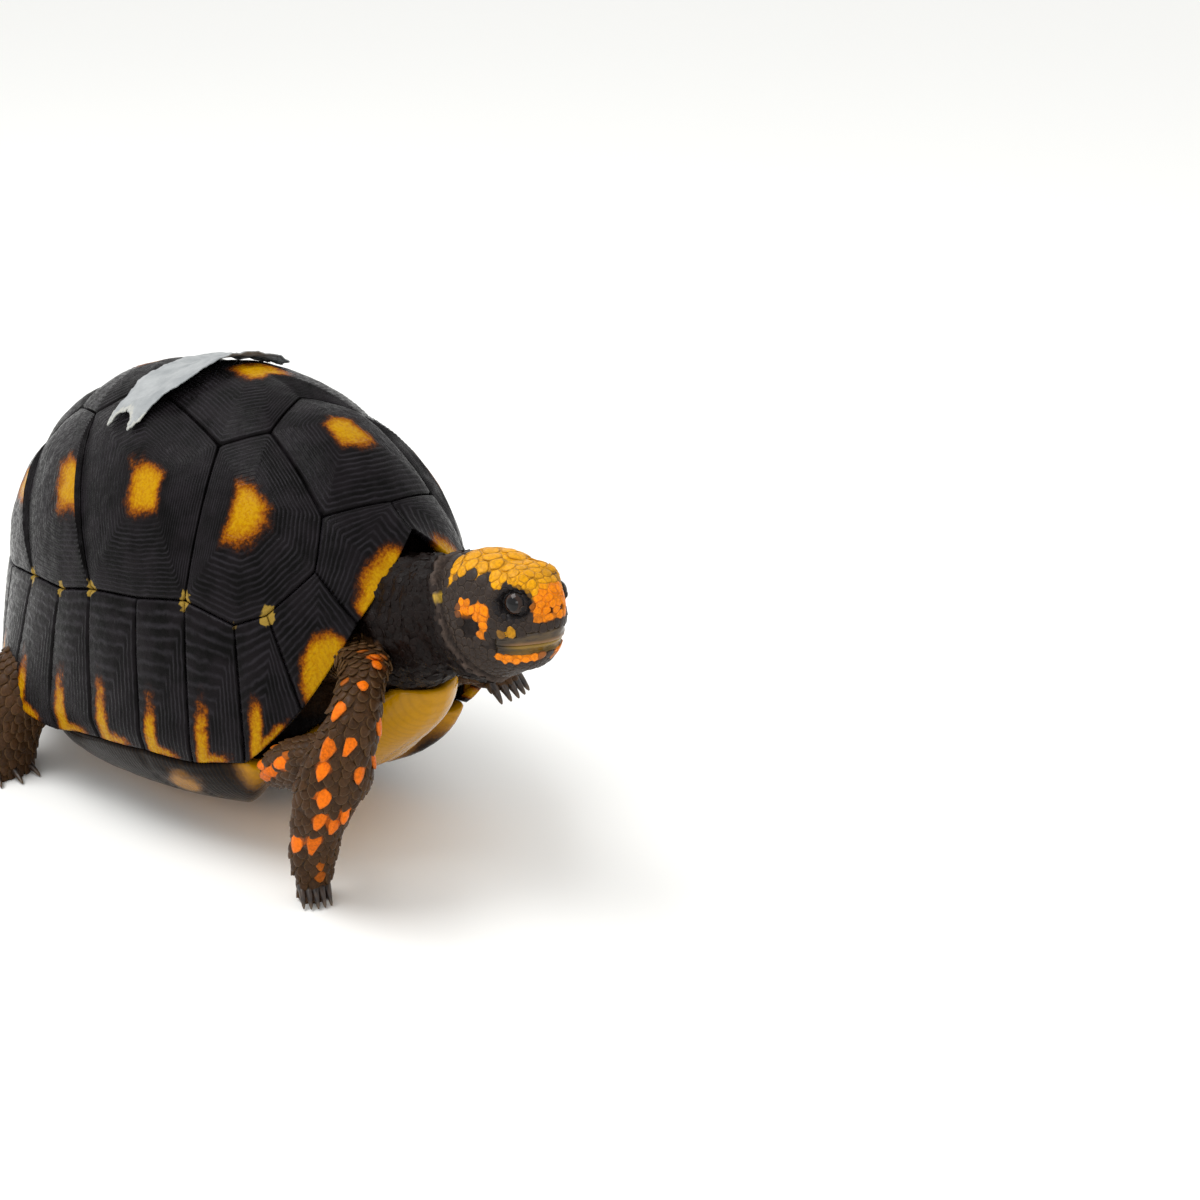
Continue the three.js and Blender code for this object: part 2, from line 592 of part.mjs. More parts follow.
// What the soft parts must stay clear of. Round the hind legs and the tail nothing soft may come
// through the rim either, so the plates there are taken thicker on their outside.
const joined = (geometries) => geometries.map(solid).reduce((whole, one) => whole.add(one));
const spare = { grow: softGap };
const beyondRim = 20;
const thickened = { grow: softGap, outward: beyondRim };
const inner = joined([trunkGeometry(gap), plastronPlate(spare), supracaudalPlate(thickened)]);
const rims = (numbers, form) => joined(
  numbers.flatMap((number) => [false, true].map((onRight) => marginalPlate(number, onRight, form))));
const room = inner.add(rims([1, 2, 3, 4, 5], spare)).add(rims([6, 7, 8, 9, 10, 11], thickened));

addPart('neck', fromSolid(largest(solid(neckGeometry()).subtract(room))), paint.skin, 0.75);
const roomForLegs = room.add(solid(neckGeometry(gap)));
for (const [name, leg] of Object.entries(legs)) {
  addPart(name, fromSolid(largest(legSolid(leg).subtract(roomForLegs))), paint.leg, 0.7);
}
const tail = solid(sweep(tailStations, leftward, upward, { around: 10, along: 6 }));
addPart('tail', fromSolid(largest(tail.subtract(room))), paint.leg, 0.7);

// The horn of the jaws and the eyes are let into the head.
const wholeHead = solid(sweep(headStations, leftward, upward, { around: 16, along: 9, square: 2.4 }));
const upperBand = jawBand(lipLine, upperLine, mouth.cornerX);
const lowerBand = jawBand(chinLine, shifted(lipLine, -gap), mouth.cornerX);
const jawRoom = jawBand(shifted(chinLine, -gap), shifted(upperLine, gap), mouth.cornerX - gap);
const eyeRoom = joined([eyeBall(1, eye.radius + gap), eyeBall(-1, eye.radius + gap)]);
const head = wholeHead.subtract(jawRoom).subtract(eyeRoom);
const upperHorn = wholeHead.intersect(upperBand).subtract(eyeRoom);
const lowerHorn = wholeHead.intersect(lowerBand);
addPart('head', fromSolid(largest(head)), paint.head, 0.5);
addPart('upper_beak', fromSolid(largest(upperHorn)), paint.beak, 0.4);
addPart('lower_beak', fromSolid(largest(lowerHorn)), paint.beak, 0.4);
addPart('eye_left', eyeBall(1, eye.radius), paint.eye, 0.1);
addPart('eye_right', eyeBall(-1, eye.radius), paint.eye, 0.1);

// The origin is on the floor under the middle of the whole animal.
const box = new THREE.Box3().setFromObject(animal);
const middle = box.getCenter(new THREE.Vector3());
for (const mesh of animal.children) mesh.geometry.translate(-middle.x, -middle.y, -box.min.z);

export default animal;
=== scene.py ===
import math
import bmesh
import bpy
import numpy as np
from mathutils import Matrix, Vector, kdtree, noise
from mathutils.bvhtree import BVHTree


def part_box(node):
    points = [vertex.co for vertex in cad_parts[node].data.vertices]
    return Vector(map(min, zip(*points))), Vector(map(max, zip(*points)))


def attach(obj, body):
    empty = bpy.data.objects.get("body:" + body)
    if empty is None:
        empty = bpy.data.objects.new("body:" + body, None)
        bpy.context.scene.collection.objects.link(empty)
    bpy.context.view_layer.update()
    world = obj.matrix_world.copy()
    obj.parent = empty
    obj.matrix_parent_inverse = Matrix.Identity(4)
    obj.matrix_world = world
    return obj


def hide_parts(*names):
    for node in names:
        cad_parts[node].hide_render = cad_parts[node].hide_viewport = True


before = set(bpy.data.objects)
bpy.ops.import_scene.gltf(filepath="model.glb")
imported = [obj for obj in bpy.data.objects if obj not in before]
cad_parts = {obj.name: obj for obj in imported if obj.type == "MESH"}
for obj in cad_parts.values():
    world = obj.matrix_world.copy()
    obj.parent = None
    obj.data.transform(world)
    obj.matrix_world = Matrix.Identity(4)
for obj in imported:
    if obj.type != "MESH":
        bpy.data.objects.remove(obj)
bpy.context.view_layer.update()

# %% [markdown]
# # A young red-footed tortoise, walking
#
# The animal is about eighteen centimetres long in the shell and is shown in the middle of a step. The
# frame already holds every plate, leg and jaw as a plain solid in its true place. This notebook gives
# each of them its real surface: horn plates with growth rings, one wrinkled skin, thousands of scales,
# eyes, beak and claws, and a strip of cloth tape on the back.
#
# All working lengths below are in millimetres and become metres at the very end of each piece.

MM = 0.001
rng = np.random.default_rng(7)


def smooth(x, low, high):
    t = np.clip((np.asarray(x, float) - low) / (high - low), 0, 1)
    return t * t * (3 - 2 * t)


def hump(x, middle, width):
    return np.exp(-((x - middle) / width) ** 2)


def unit(v):
    return v / np.linalg.norm(v, axis=-1, keepdims=True)


# %% [markdown]
# ## Where things are
#
# The animal was drawn with its head towards +X. The frame is centred on the whole body, so the shift
# between the two is read from the eyes, which are at known places in the drawing.

# %% The drawing's own axes
EYE = dict(x=127.7, z=86.9, from_middle=5.8, radius=3.2)
HEAD_MIDDLE = -8.0
eye_boxes = [np.array(corner) for side in ("left", "right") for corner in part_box("eye_" + side)]
seen_middle = sum(eye_boxes) / 4 / MM
shift = np.array([EYE["x"], HEAD_MIDDLE, EYE["z"]]) - seen_middle
print("the drawing lies", shift.round(2), "mm from the frame")


def to_frame(points):
    return (np.asarray(points, float) - shift) * MM


# %% [markdown]
# ## Horn plates
#
# A tortoise's shell is bone covered by thin plates of horn. Each plate starts as the hatchling's small
# granular plate, the areola, and adds a ring of horn along its edges every growing season. A plate is
# therefore a nest of its own outline shrunk towards the areola, with a ridge for each ring.
#
# The surface could be sculpted as one piece and painted, but then the rings would only be a picture.
# Here every large plate is a flat line spun into a disc, whose circles are stretched to the outline
# and laid on the shell's form. The rings of the disc then are the rings of growth.

# %% Materials: colours and nodes
def linear(hexcode):
    parts = [int(hexcode[k:k + 2], 16) / 255 for k in (1, 3, 5)]
    return tuple(p / 12.92 if p <= 0.04045 else ((p + 0.055) / 1.055) ** 2.4 for p in parts) + (1.0,)


def add(tree, kind, inputs=None, **settings):
    """One node with its settings; an input is a value or another node's output."""
    made = tree.nodes.new(kind)
    for key, value in settings.items():
        setattr(made, key, value)
    for key, value in (inputs or {}).items():
        if isinstance(value, bpy.types.NodeSocket):
            tree.links.new(value, made.inputs[key])
        else:
            made.inputs[key].default_value = value
    return made


def new_material(name):
    material = bpy.data.materials.new(name)
    material.use_nodes = True
    tree = material.node_tree
    return material, tree, tree.nodes["Principled BSDF"]


def blend_colours(tree, share, first, second, how="MIX"):
    inputs = {0: share, 6: first, 7: second}
    return add(tree, "ShaderNodeMix", inputs, data_type="RGBA", blend_type=how).outputs[2]


def value_of(tree, name):
    return add(tree, "ShaderNodeAttribute", attribute_name=name).outputs["Fac"]


def colour_of(tree, name):
    return add(tree, "ShaderNodeAttribute", attribute_name=name).outputs["Color"]


def sums(tree, operation, *values):
    return add(tree, "ShaderNodeMath", dict(enumerate(values)), operation=operation).outputs[0]


def ranged(tree, value, low, high, to_low=0.0, to_high=1.0):
    inputs = {0: value, 1: low, 2: high, 3: to_low, 4: to_high}
    return add(tree, "ShaderNodeMapRange", inputs, interpolation_type="SMOOTHSTEP").outputs[0]


def grain(tree, size_mm, detail=3.0, roughness=0.5, stretch=(1, 1, 1)):
    """Cloudy noise whose lumps are about size_mm across on the real animal."""
    where = add(tree, "ShaderNodeTexCoord").outputs["Object"]
    place = add(tree, "ShaderNodeMapping", {"Vector": where, "Scale": stretch}).outputs[0]
    inputs = {"Vector": place, "Scale": 1 / (size_mm * MM), "Detail": detail, "Roughness": roughness}
    return add(tree, "ShaderNodeTexNoise", inputs).outputs[0]


def raised(tree, height, depth_mm, normal=None):
    inputs = {"Height": height, "Distance": depth_mm * MM, "Strength": 1.0}
    if normal is not None:
        inputs["Normal"] = normal
    return add(tree, "ShaderNodeBump", inputs).outputs[0]


# %% The shell's plain form
SHELL = dict(length=86.8, width=47.8, dome=71.6, under=40.4)
POWERS = dict(plan=2.0, dome=2.15, under=3.2)
FLARE = dict(front=2.6, rear=6.0)
TILT = dict(nose_up=4.4, right_side_up=2.6, centre=(-1.5, -2.4, 44.2))
SEAM_TOPS = np.array([
    (0, 32.6), (18.9, 23), (28.8, 16.1), (35.8, 14.5), (48.6, 20.9), (66, 21.7),
    (88.7, 22.2), (106.9, 18.8), (126.3, 17.1), (145.5, 12.6), (160, 10.4), (171.5, 9.4)])
SEAM_RIMS = np.array([
    (0, 26.7), (14, 12.8), (23.9, -2.5), (35, -17), (49.2, -22.6), (67, -24.4),
    (91.4, -26.6), (119, -26.8), (138, -19), (154, -14.5), (167, -15.5), (174.6, -18.5)])


def direction(turn, rise):
    """Unit vector from the shell's centre: turn goes from the head to the left, rise goes up."""
    t, r = np.radians(turn), np.radians(rise)
    return np.stack([np.cos(r) * np.cos(t), np.cos(r) * np.sin(t), np.sin(r) + 0 * t], -1)


def turn_and_rise(d):
    return np.degrees(np.arctan2(d[..., 1], d[..., 0])), np.degrees(np.arcsin(np.clip(d[..., 2], -1, 1)))


def base_radius(d):
    up = d[..., 2] > 0
    height = np.where(up, SHELL["dome"], SHELL["under"])
    power = np.where(up, POWERS["dome"], POWERS["under"])
    plan = np.abs(d[..., 0] / SHELL["length"]) ** POWERS["plan"]
    plan = plan + np.abs(d[..., 1] / SHELL["width"]) ** POWERS["plan"]
    return (plan ** (power / POWERS["plan"]) + np.abs(d[..., 2] / height) ** power) ** (-1 / power)


def rise_along(seams, turn):
    return np.interp(np.abs(turn), seams[:, 0], seams[:, 1])


def shell_radius(d):
    turn, rise = turn_and_rise(d)
    top, rim = rise_along(SEAM_TOPS, turn), rise_along(SEAM_RIMS, turn)
    down = np.clip((top - rise) / (top - rim), 0, 1.15)
    front = FLARE["front"] * (1 - smooth(np.abs(turn), 24, 44))
    rear = FLARE["rear"] * smooth(np.abs(turn), 104, 140)
    return base_radius(d) + np.where(rise > rim - 4, (front + rear) * down * down, 0)


def rotation(axis, degrees):
    return np.array(Matrix.Rotation(math.radians(degrees), 3, axis))


TIP = rotation("X", -TILT["right_side_up"]) @ rotation("Y", -TILT["nose_up"])


def on_shell(points):
    """From the shell's own axes to the drawing's."""
    return points @ TIP.T + np.array(TILT["centre"])


# %% The plates' outlines
V1_M1, V1_V2, V2_SIDE, V2_V3 = (15.3, 32.8), (20.4, 54.8), (38.2, 55.5), (116.6, 73.8)
V3_SIDE, V3_V4, V4_SIDE, V4_V5 = (134, 59.5), (154, 52.5), (157.6, 39), (165.6, 31)
NAPE, RUMP, TAIL_RIM = (0, 32.6), (180, 9.2), (180, -20.5)
TOP = [tuple(pair) for pair in SEAM_TOPS]
RIM = [tuple(pair) for pair in SEAM_RIMS]
VERTEBRALS = [
    (NAPE, [V1_M1, V1_V2], (0, 63.4), (0, 50.1)),
    ((0, 63.4), [V1_V2, V2_SIDE, V2_V3], (180, 79.5), (0, 82.5)),
    ((180, 79.5), [V2_V3, V3_SIDE, V3_V4], (180, 54.5), (180, 68)),
    ((180, 54.5), [V3_V4, V4_SIDE, V4_V5], (180, 32.5), (180, 43.5)),
    ((180, 32.5), [V4_V5, TOP[10], TOP[11]], RUMP, (180, 22)),
]
COSTALS = [
    ([V1_M1, TOP[1], TOP[2], TOP[3], TOP[4], V2_SIDE, V1_V2], (31.3, 38.4)),
    ([V2_SIDE, TOP[4], TOP[5], TOP[6], V3_SIDE, V2_V3], (64.6, 48.8)),
    ([V3_SIDE, TOP[6], TOP[7], TOP[8], V4_SIDE, V3_V4], (110.5, 47)),
    ([V4_SIDE, TOP[8], TOP[9], TOP[10], V4_V5], (147.6, 33)),
]


def mirrored(points):
    return [(-turn, rise) for turn, rise in points]


def directions(points):
    return np.array([direction(*p) for p in points])


def outline_of(corners, heart, inset, count, rounding, surface=shell_radius):
    """The plate's edge as equally spaced directions, drawn in by inset and a little rounded."""
    sides = []
    for a, b in zip(corners, np.roll(corners, -1, 0)):
        normal = unit(np.cross(a, b))
        sides.append(-normal if normal @ heart < 0 else normal)
    moved = []
    for k, corner in enumerate(corners):
        before, after = sides[k - 1], sides[k]
        share = inset / (1 + before @ after)
        moved.append(corner * surface(corner) + (before + after) * share)
    moved = np.array(moved + moved[:1])
    run = np.concatenate([[0], np.cumsum(np.linalg.norm(np.diff(moved, axis=0), axis=1))])
    fine = np.linspace(0, run[-1], 8 * count, endpoint=False)
    line = np.stack([np.interp(fine, run, moved[:, k]) for k in range(3)], -1)
    reach = max(1, int(rounding / run[-1] * 8 * count))
    window = np.hanning(2 * reach + 3)[1:-1]
    looped = np.concatenate([line[-reach:], line, line[:reach]])
    line = np.stack([np.convolve(looped[:, k], window / window.sum(), "valid") for k in range(3)], -1)
    return unit(line[::8])


# %% Making a piece from a flat start
pieces = {}


def finish_piece(name, bm, points, material, replaced=(), values=None, smooth_faces=True):
    """Writes the mesh with its vertices at these places (drawing, mm) and hands it to the frame."""
    bmesh.ops.recalc_face_normals(bm, faces=bm.faces)
    mesh = bpy.data.meshes.new(name + "_surface")
    bm.to_mesh(mesh)
    bm.free()
    mesh.vertices.foreach_set("co", to_frame(points).astype(np.float32).ravel())
    mesh.update()
    return hand_over(name, mesh, material, replaced, values, smooth_faces)


def hand_over(name, mesh, material, replaced=(), values=None, smooth_faces=True):
    for key, column in (values or {}).items():
        kind = "FLOAT_COLOR" if np.ndim(column) == 2 else "FLOAT"
        layer = mesh.attributes.new(key, kind, "POINT")
        layer.data.foreach_set("color" if kind == "FLOAT_COLOR" else "value",
                               np.ascontiguousarray(column, np.float32).ravel())
    mesh.polygons.foreach_set("use_smooth", [smooth_faces] * len(mesh.polygons))
    outward(mesh)
    piece = bpy.data.objects.new(name + "_surface", mesh)
    bpy.context.scene.collection.objects.link(piece)
    piece.data.materials.append(material)
    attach(piece, "root")
    if replaced:
        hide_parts(*replaced)
    pieces[name] = len(mesh.polygons)
    return piece


def outward(mesh):
    """Turns the whole mesh if its faces look inwards."""
    mesh.calc_loop_triangles()
    corners = np.empty(len(mesh.loop_triangles) * 3, int)
    mesh.loop_triangles.foreach_get("vertices", corners)
    place = np.empty(len(mesh.vertices) * 3)
    mesh.vertices.foreach_get("co", place)
    a, b, c = np.moveaxis(place.reshape(-1, 3)[corners.reshape(-1, 3)], 1, 0)
    if np.einsum("ij,ij->", a, np.cross(b, c)) < 0:
        mesh.flip_normals()


def cloud(points, size, octaves=2, seed=0.0):
    """Smooth noise from -1 to 1 at places in mm."""
    q = np.asarray(points, float) / size + seed
    return np.array([noise.fractal(Vector(p), 0.6, 2.0, octaves) for p in q])

# %% [markdown]
# ### The large plates of the back
#
# Five vertebrals run down the middle and four costals lie along each side. Black horn surrounds the
# yellow, finely pitted areola, and the horn between them fades through burnt orange and purple brown.

# %% A disc of rings for one plate
AREOLA = 0.31          # the hatchling plate's share of the way from heart to edge
RING_WIDTH = 1.25      # mm of horn added in a season
RING_HEIGHT = 0.15
AROUND = 128


def ring_reaches(mean_radius, areola):
    """Where the circles of the disc lie: four for every season's ring, closer inside the areola."""
    seasons = max(5, round(mean_radius * (1 - areola) / RING_WIDTH))
    inner = np.linspace(0, areola, 9)[1:]
    steps = np.arange(1, 4 * seasons + 1) / (4 * seasons)
    outer = areola + (1 - areola) * (0.6 * steps + 0.4 * steps ** 0.8)
    return seasons, np.concatenate([inner, outer])


def spun(reaches, around=AROUND):
    """A line of points spun full circle. Each point's height is its number along the line, so that
    every vertex afterwards tells its row and its turn; the first and last row may be single poles."""
    bm = bmesh.new()
    line = [bm.verts.new((reach, 0, row)) for row, reach in enumerate(reaches)]
    edges = [bm.edges.new(pair) for pair in zip(line, line[1:])]
    bmesh.ops.spin(bm, geom=line + edges, cent=(0, 0, 0), axis=(0, 0, 1), angle=2 * math.pi,
                   steps=around, use_merge=True)
    bmesh.ops.remove_doubles(bm, verts=bm.verts, dist=2e-4)
    flat = np.array([v.co[:] for v in bm.verts])
    row = np.round(flat[:, 2]).astype(int)
    turn = np.round(np.arctan2(flat[:, 1], flat[:, 0]) / (2 * math.pi) * around).astype(int) % around
    turn[np.asarray(reaches)[row] == 0] = 0
    return bm, row, turn


def closed_rows(reaches):
    """Rows for a closed disc: fine ones on top, a few coarse ones below; and which ones lie below."""
    below = [1, 0.9, 0.5, 0]
    return np.concatenate([[0], reaches, below]), np.concatenate([np.zeros(len(reaches) + 1), np.ones(len(below))])


def flat_places(bm):
    return np.array([v.co[:] for v in bm.verts])


def ridge_profile(phase):
    """One season's ridge: a slow climb, a rounded crest and a sharper step down."""
    part = phase - np.floor(phase)
    return np.where(part < 0.62, smooth(part, 0, 0.62), 1 - smooth(part, 0.62, 1))


def plate_piece(name, corners, heart, swell, material, areola=AREOLA, yellow=1.0, long_way=1.0):
    corners = directions(corners)
    heart = direction(*heart)
    edge = outline_of(corners, heart, 0.07, AROUND, 1.1)
    edge_places = edge * shell_radius(edge)[:, None]
    mean = np.linalg.norm(edge_places - heart * shell_radius(heart), axis=1).mean()
    seasons, reaches = ring_reaches(mean, areola)
    rows, under = closed_rows(reaches)
    bm, row, turn = spun(rows)
    reach = rows[row]
    target = edge[turn]
    d = unit(heart + (target - heart) * reach[:, None])
    rough = cloud(d * 80, 9, 2, len(pieces) * 3.1)
    fine = cloud(d * 80, 2.6, 2, len(pieces) * 5.7)
    grown = (np.clip(reach, areola, 1) - areola) / (1 - areola)
    phase = grown * seasons
    lifted = ridge_profile(phase) * (reach > areola) * (0.75 + 0.5 * rough)
    height = swell * (1 - reach ** 1.6) - 0.3 * reach ** 6
    height = height + RING_HEIGHT * lifted + 0.05 * fine + 0.1 * rough
    height = height - 0.25 * (1 - smooth(reach, areola * 0.75, areola * 1.05))
    height = height - 0.9 * smooth(reach, 0.975, 1.0) ** 2
    points = on_shell(d * (shell_radius(d) + height - 2.2 * under[row])[:, None])
    values = dict(reach=reach, phase=phase, amber=amber_of(reach, areola, rough, fine) * yellow,
                  cream=cream_at(points))
    return finish_piece(name, bm, points, material, (name,), values)


def closed_slab(name, bm, points, behind, material, values):
    """Doubles the open face at the places behind it and joins the two along their rims."""
    count = len(bm.verts)
    number = bm.verts.layers.int.new("number")
    for k, v in enumerate(bm.verts):
        v[number] = k
    above = set(bm.verts)
    bmesh.ops.duplicate(bm, geom=bm.verts[:] + bm.edges[:] + bm.faces[:])
    order = [v[number] + (0 if v in above else count) for v in bm.verts]
    points = np.concatenate([points, behind])[order]
    for v, place in zip(bm.verts, points):
        v.co = place
    bmesh.ops.bridge_loops(bm, edges=[e for e in bm.edges if e.is_boundary])
    bm.verts.layers.int.remove(number)
    values = {k: np.concatenate([v, v])[order] for k, v in values.items()}
    return finish_piece(name, bm, points, material, (name,), values)


# %% Where the horn is yellow
def amber_of(reach, areola, rough, fine):
    """1 in the yellow areola, falling through brown outside it, with a restless border."""
    edge = areola * (1.0 + 0.16 * rough + 0.1 * fine)
    return 1 - smooth(reach, edge * 0.45, edge * 1.8)


# Small cream spots of young horn sit where certain seams meet, mostly along the marginals' upper line.
CREAM = [
    (TOP[2], 3.0, 1.0), (TOP[3], 1.6, 0.4), (TOP[4], 2.6, 1.0), (TOP[6], 2.8, 1.0), (TOP[7], 2.2, 0.8),
    (TOP[8], 2.6, 1.0), (V2_SIDE, 0.9, 0.9), (TOP[10], 2.0, 0.7),
]


def cream_at(points):
    """How cream the horn is near the listed junctions, on both sides of the shell."""
    total = np.zeros(len(points))
    wobble = cloud(points, 1.6, 2, 4.4)
    for place, size, strength in CREAM:
        for side in (1, -1):
            d = direction(side * place[0], place[1])
            spot = on_shell(d * shell_radius(d))
            away = np.linalg.norm((points - spot) * (1.25, 1, 0.8), axis=1)
            near = 1 - smooth(away * (1 + 0.5 * wobble), size * 0.45, size)
            total = np.maximum(total, strength * near)
    return total


# %% The horn itself
def horn_material():
    """Black, half-glossy horn whose ring crests carry a painted pale-grey highlight: it gives the eye fine parallel
    lines and wet glints.
    """
    material, tree, shader = new_material("tortoise_shell_horn")
    reach, phase = value_of(tree, "reach"), value_of(tree, "phase")
    amber, cream = value_of(tree, "amber"), value_of(tree, "cream")
    cloudy, speck = grain(tree, 7), grain(tree, 0.8, 4, 0.65)
    black = blend_colours(tree, ranged(tree, cloudy, 0.35, 0.65), linear("#090808"), linear("#151214"))
    wavy = sums(tree, "MULTIPLY_ADD", grain(tree, 3.2, 2), 0.7, phase)
    lines = sums(tree, "PINGPONG", sums(tree, "MULTIPLY", wavy, 2.0), 1.0)
    crest = ranged(tree, lines, 0.35, 1.0)
    broken = ranged(tree, grain(tree, 6, 5, 0.7), 0.3, 0.7, 0.25, 1.0)
    # painted highlight: the ring crests are mixed towards pale grey in the base colour, standing in for light caught on
    # their tops
    pale = sums(tree, "MULTIPLY", sums(tree, "MULTIPLY", crest, broken), 0.42)
    outside = ranged(tree, reach, 0.25, 0.45)
    pale = sums(tree, "MULTIPLY", pale, outside)
    horn = blend_colours(tree, pale, black, linear("#38353a"))
    pitted = sums(tree, "MULTIPLY_ADD", ranged(tree, speck, 0.35, 0.65), 0.22, sums(tree, "SUBTRACT", amber, 0.16))
    warm = add(tree, "ShaderNodeValToRGB", {0: pitted})
    stops = [(0.03, "#120e0f"), (0.16, "#1f1312"), (0.34, "#3c1e0b"), (0.54, "#7a3f04"), (0.76, "#9c6602"),
             (1.0, "#b08204")]
    ramp = warm.color_ramp
    for place, hexcode in stops[1:-1]:
        ramp.elements.new(place)
    for element, (place, hexcode) in zip(ramp.elements, stops):
        element.position = place
        element.color = linear(hexcode)
    coloured = blend_colours(tree, ranged(tree, amber, 0.03, 0.4), horn, warm.outputs[0])
    creamy = ranged(tree, sums(tree, "MULTIPLY_ADD", speck, 0.3, cream), 0.45, 0.8)
    coloured = blend_colours(tree, creamy, coloured, linear("#8c7230"))
    height = sums(tree, "MULTIPLY_ADD", crest, 0.5, sums(tree, "MULTIPLY", speck, 0.35))
    bump = raised(tree, height, 0.16)
    fine = raised(tree, grain(tree, 0.35, 2), 0.05, bump)
    rough = ranged(tree, grain(tree, 1.6, 3), 0.35, 0.65, 0.16, 0.4)
    for key, value in {"Base Color": coloured, "Roughness": rough, "Normal": fine}.items():
        tree.links.new(value, shader.inputs[key])
    shader.inputs["Specular IOR Level"].default_value = 0.045
    return material


HORN = horn_material()

# %% Five vertebrals and eight costals
YOUNG_HEARTS = {1: (0, 77.5)}      # the second areola sits nearer the front of its plate
for k, (front, half, back, heart) in enumerate(VERTEBRALS):
    heart = YOUNG_HEARTS.get(k, heart)
    ring = [front, *half, back, *mirrored(half)[::-1]]
    plate_piece(f"vertebral_{k + 1}", ring, heart, 1.7, HORN, areola=(0.25, 0.22, 0.24, 0.24, 0.24)[k])
for side in ("left", "right"):
    for k, (corners, heart) in enumerate(COSTALS):
        ring = corners if side == "left" else mirrored(corners)
        middle = heart if side == "left" else (-heart[0], heart[1])
        plate_piece(f"costal_{side}_{k + 1}", ring, middle, 1.5, HORN, areola=(0.27, 0.21, 0.25, 0.24)[k])
print("large plates:", sum(pieces.values()), "faces")

# %% [markdown]
# ### The marginals and the supracaudal
#
# Eleven pairs of marginals edge the shell, and one supracaudal closes it over the tail. Their areola
# lies in the lower rear corner, so their rings are L-shaped and spread forwards and upwards from it.
# Each is a small grid laid between its two seams, with the lower edge turned under along the bridge.

# %% One marginal
ACROSS, DOWN = 32, 52
FOOT = dict(first=3, last=8)


def marginal_yellow(number, ahead, up, rough, fine):
    """The yellow of one marginal: ahead runs from its rear seam to its front, up from rim to top."""
    ragged = 0.05 * rough + 0.04 * fine
    if number <= 1:
        bar = 1 - smooth(up + ragged + 0.5 * (ahead - 0.4) ** 2, 0.08, 0.46)
        return bar * smooth(ahead, 0.0, 0.12) * (1 - smooth(ahead, 0.62, 0.88))
    if number == 2:
        near = np.hypot((ahead - 0.43) / 0.38, (up - 0.1) / 0.35) + 2 * ragged
        return 1 - smooth(near, 0.55, 1.2)
    post = 1 - smooth(np.abs(ahead - 0.24 - 0.1 * up) + 0.6 * ragged, 0.03, 0.23)
    post = post * (1 - smooth(up + 1.2 * ragged, 0.16, 0.6))
    foot = (1 - smooth(up + 0.6 * ragged + 0.07 * ahead, 0.07, 0.2)) * smooth(ahead, 0.04, 0.16)
    foot = foot * (1 - smooth(ahead + ragged, 0.55, 0.95)) * smooth(up, 0.0, 0.03)
    return np.maximum(post, 0.92 * foot)


def marginal_piece(name, top_line, rim_line, number, rear_first):
    """top_line and rim_line are directions from the rear seam to the front one, or the other way."""
    bm = bmesh.new()
    bmesh.ops.create_grid(bm, x_segments=ACROSS, y_segments=DOWN, size=1)
    flat = flat_places(bm)
    along, up = (flat[:, 0] + 1) / 2, (flat[:, 1] + 1) / 2
    inset = 0.0035
    place = inset + (1 - 2 * inset) * along
    lines = []
    for line in (top_line, rim_line):
        run = np.concatenate([[0], np.cumsum(np.linalg.norm(np.diff(line, axis=0), axis=1))])
        lines.append(np.stack([np.interp(place, run / run[-1], line[:, k]) for k in range(3)], -1))
    rise = 0.003 + up * 0.994
    d = unit(lines[1] + (lines[0] - lines[1]) * rise[:, None])
    ahead = along if rear_first else 1 - along
    rough = cloud(d * 80, 8, 2, len(pieces) * 2.3)
    fine = cloud(d * 80, 2.4, 2, len(pieces) * 4.9)
    grown = np.maximum(np.abs(ahead - 0.24) / 0.9, (up - 0.06) * 1.0)
    phase = np.clip(grown, 0, 1) * 13
    edge = np.minimum(np.minimum(along, 1 - along), np.minimum(up, 1 - up) * 1.6)
    middle = (1 - (2 * along - 1) ** 2) * (1 - (2 * up - 1) ** 2)
    keel = np.exp(-((up - 0.17) / 0.09) ** 2) if FOOT["first"] < number < FOOT["last"] else 0 * up
    height = 0.7 * middle + 0.12 * ridge_profile(phase) * (0.7 + 0.5 * rough) + 0.06 * fine + 0.7 * keel
    height = height - 0.6 * (1 - smooth(edge, 0, 0.028)) ** 2
    face = d * (shell_radius(d) + height)[:, None]
    points = on_shell(face)
    amber = marginal_yellow(number, ahead, up, rough, fine)
    values = dict(reach=np.clip(grown + 0.3, 0, 1), phase=phase, amber=amber, cream=cream_at(points))
    return closed_slab(name, bm, points, on_shell(face - 2.8 * d), HORN, values)


def eased(line):
    """The line with points added evenly, so that it can be read at any share of its length."""
    steps = np.linspace(0, 1, 9)[:-1, None]
    parts = [a + (b - a) * steps for a, b in zip(line, line[1:])]
    return unit(np.concatenate(parts + [line[-1:]]))


for side in ("left", "right"):
    mirror = (lambda p: p) if side == "left" else mirrored
    for k in range(1, 12):
        upper = [TOP[k], V1_M1, TOP[0]] if k == 1 else [TOP[k], TOP[k - 1]]
        top_line = eased(directions(mirror(upper)))
        rim_line = eased(directions(mirror([RIM[k], RIM[k - 1]])))
        marginal_piece(f"marginal_{side}_{k}", top_line, rim_line, k, True)
top_line = eased(directions([(-TOP[11][0], TOP[11][1]), RUMP, TOP[11]]))
rim_line = eased(directions([(-RIM[11][0], RIM[11][1]), TAIL_RIM, RIM[11]]))
marginal_piece("supracaudal", top_line, rim_line, 12, True)
print("with the marginals:", sum(pieces.values()), "faces")

# %% [markdown]
# ### The plastron
#
# The belly plate is one disc as well, spun round its middle and laid over the flat bottom. Its front
# lobe runs out to the paired gular tip between the forelegs, polished and yellow where it rubs.

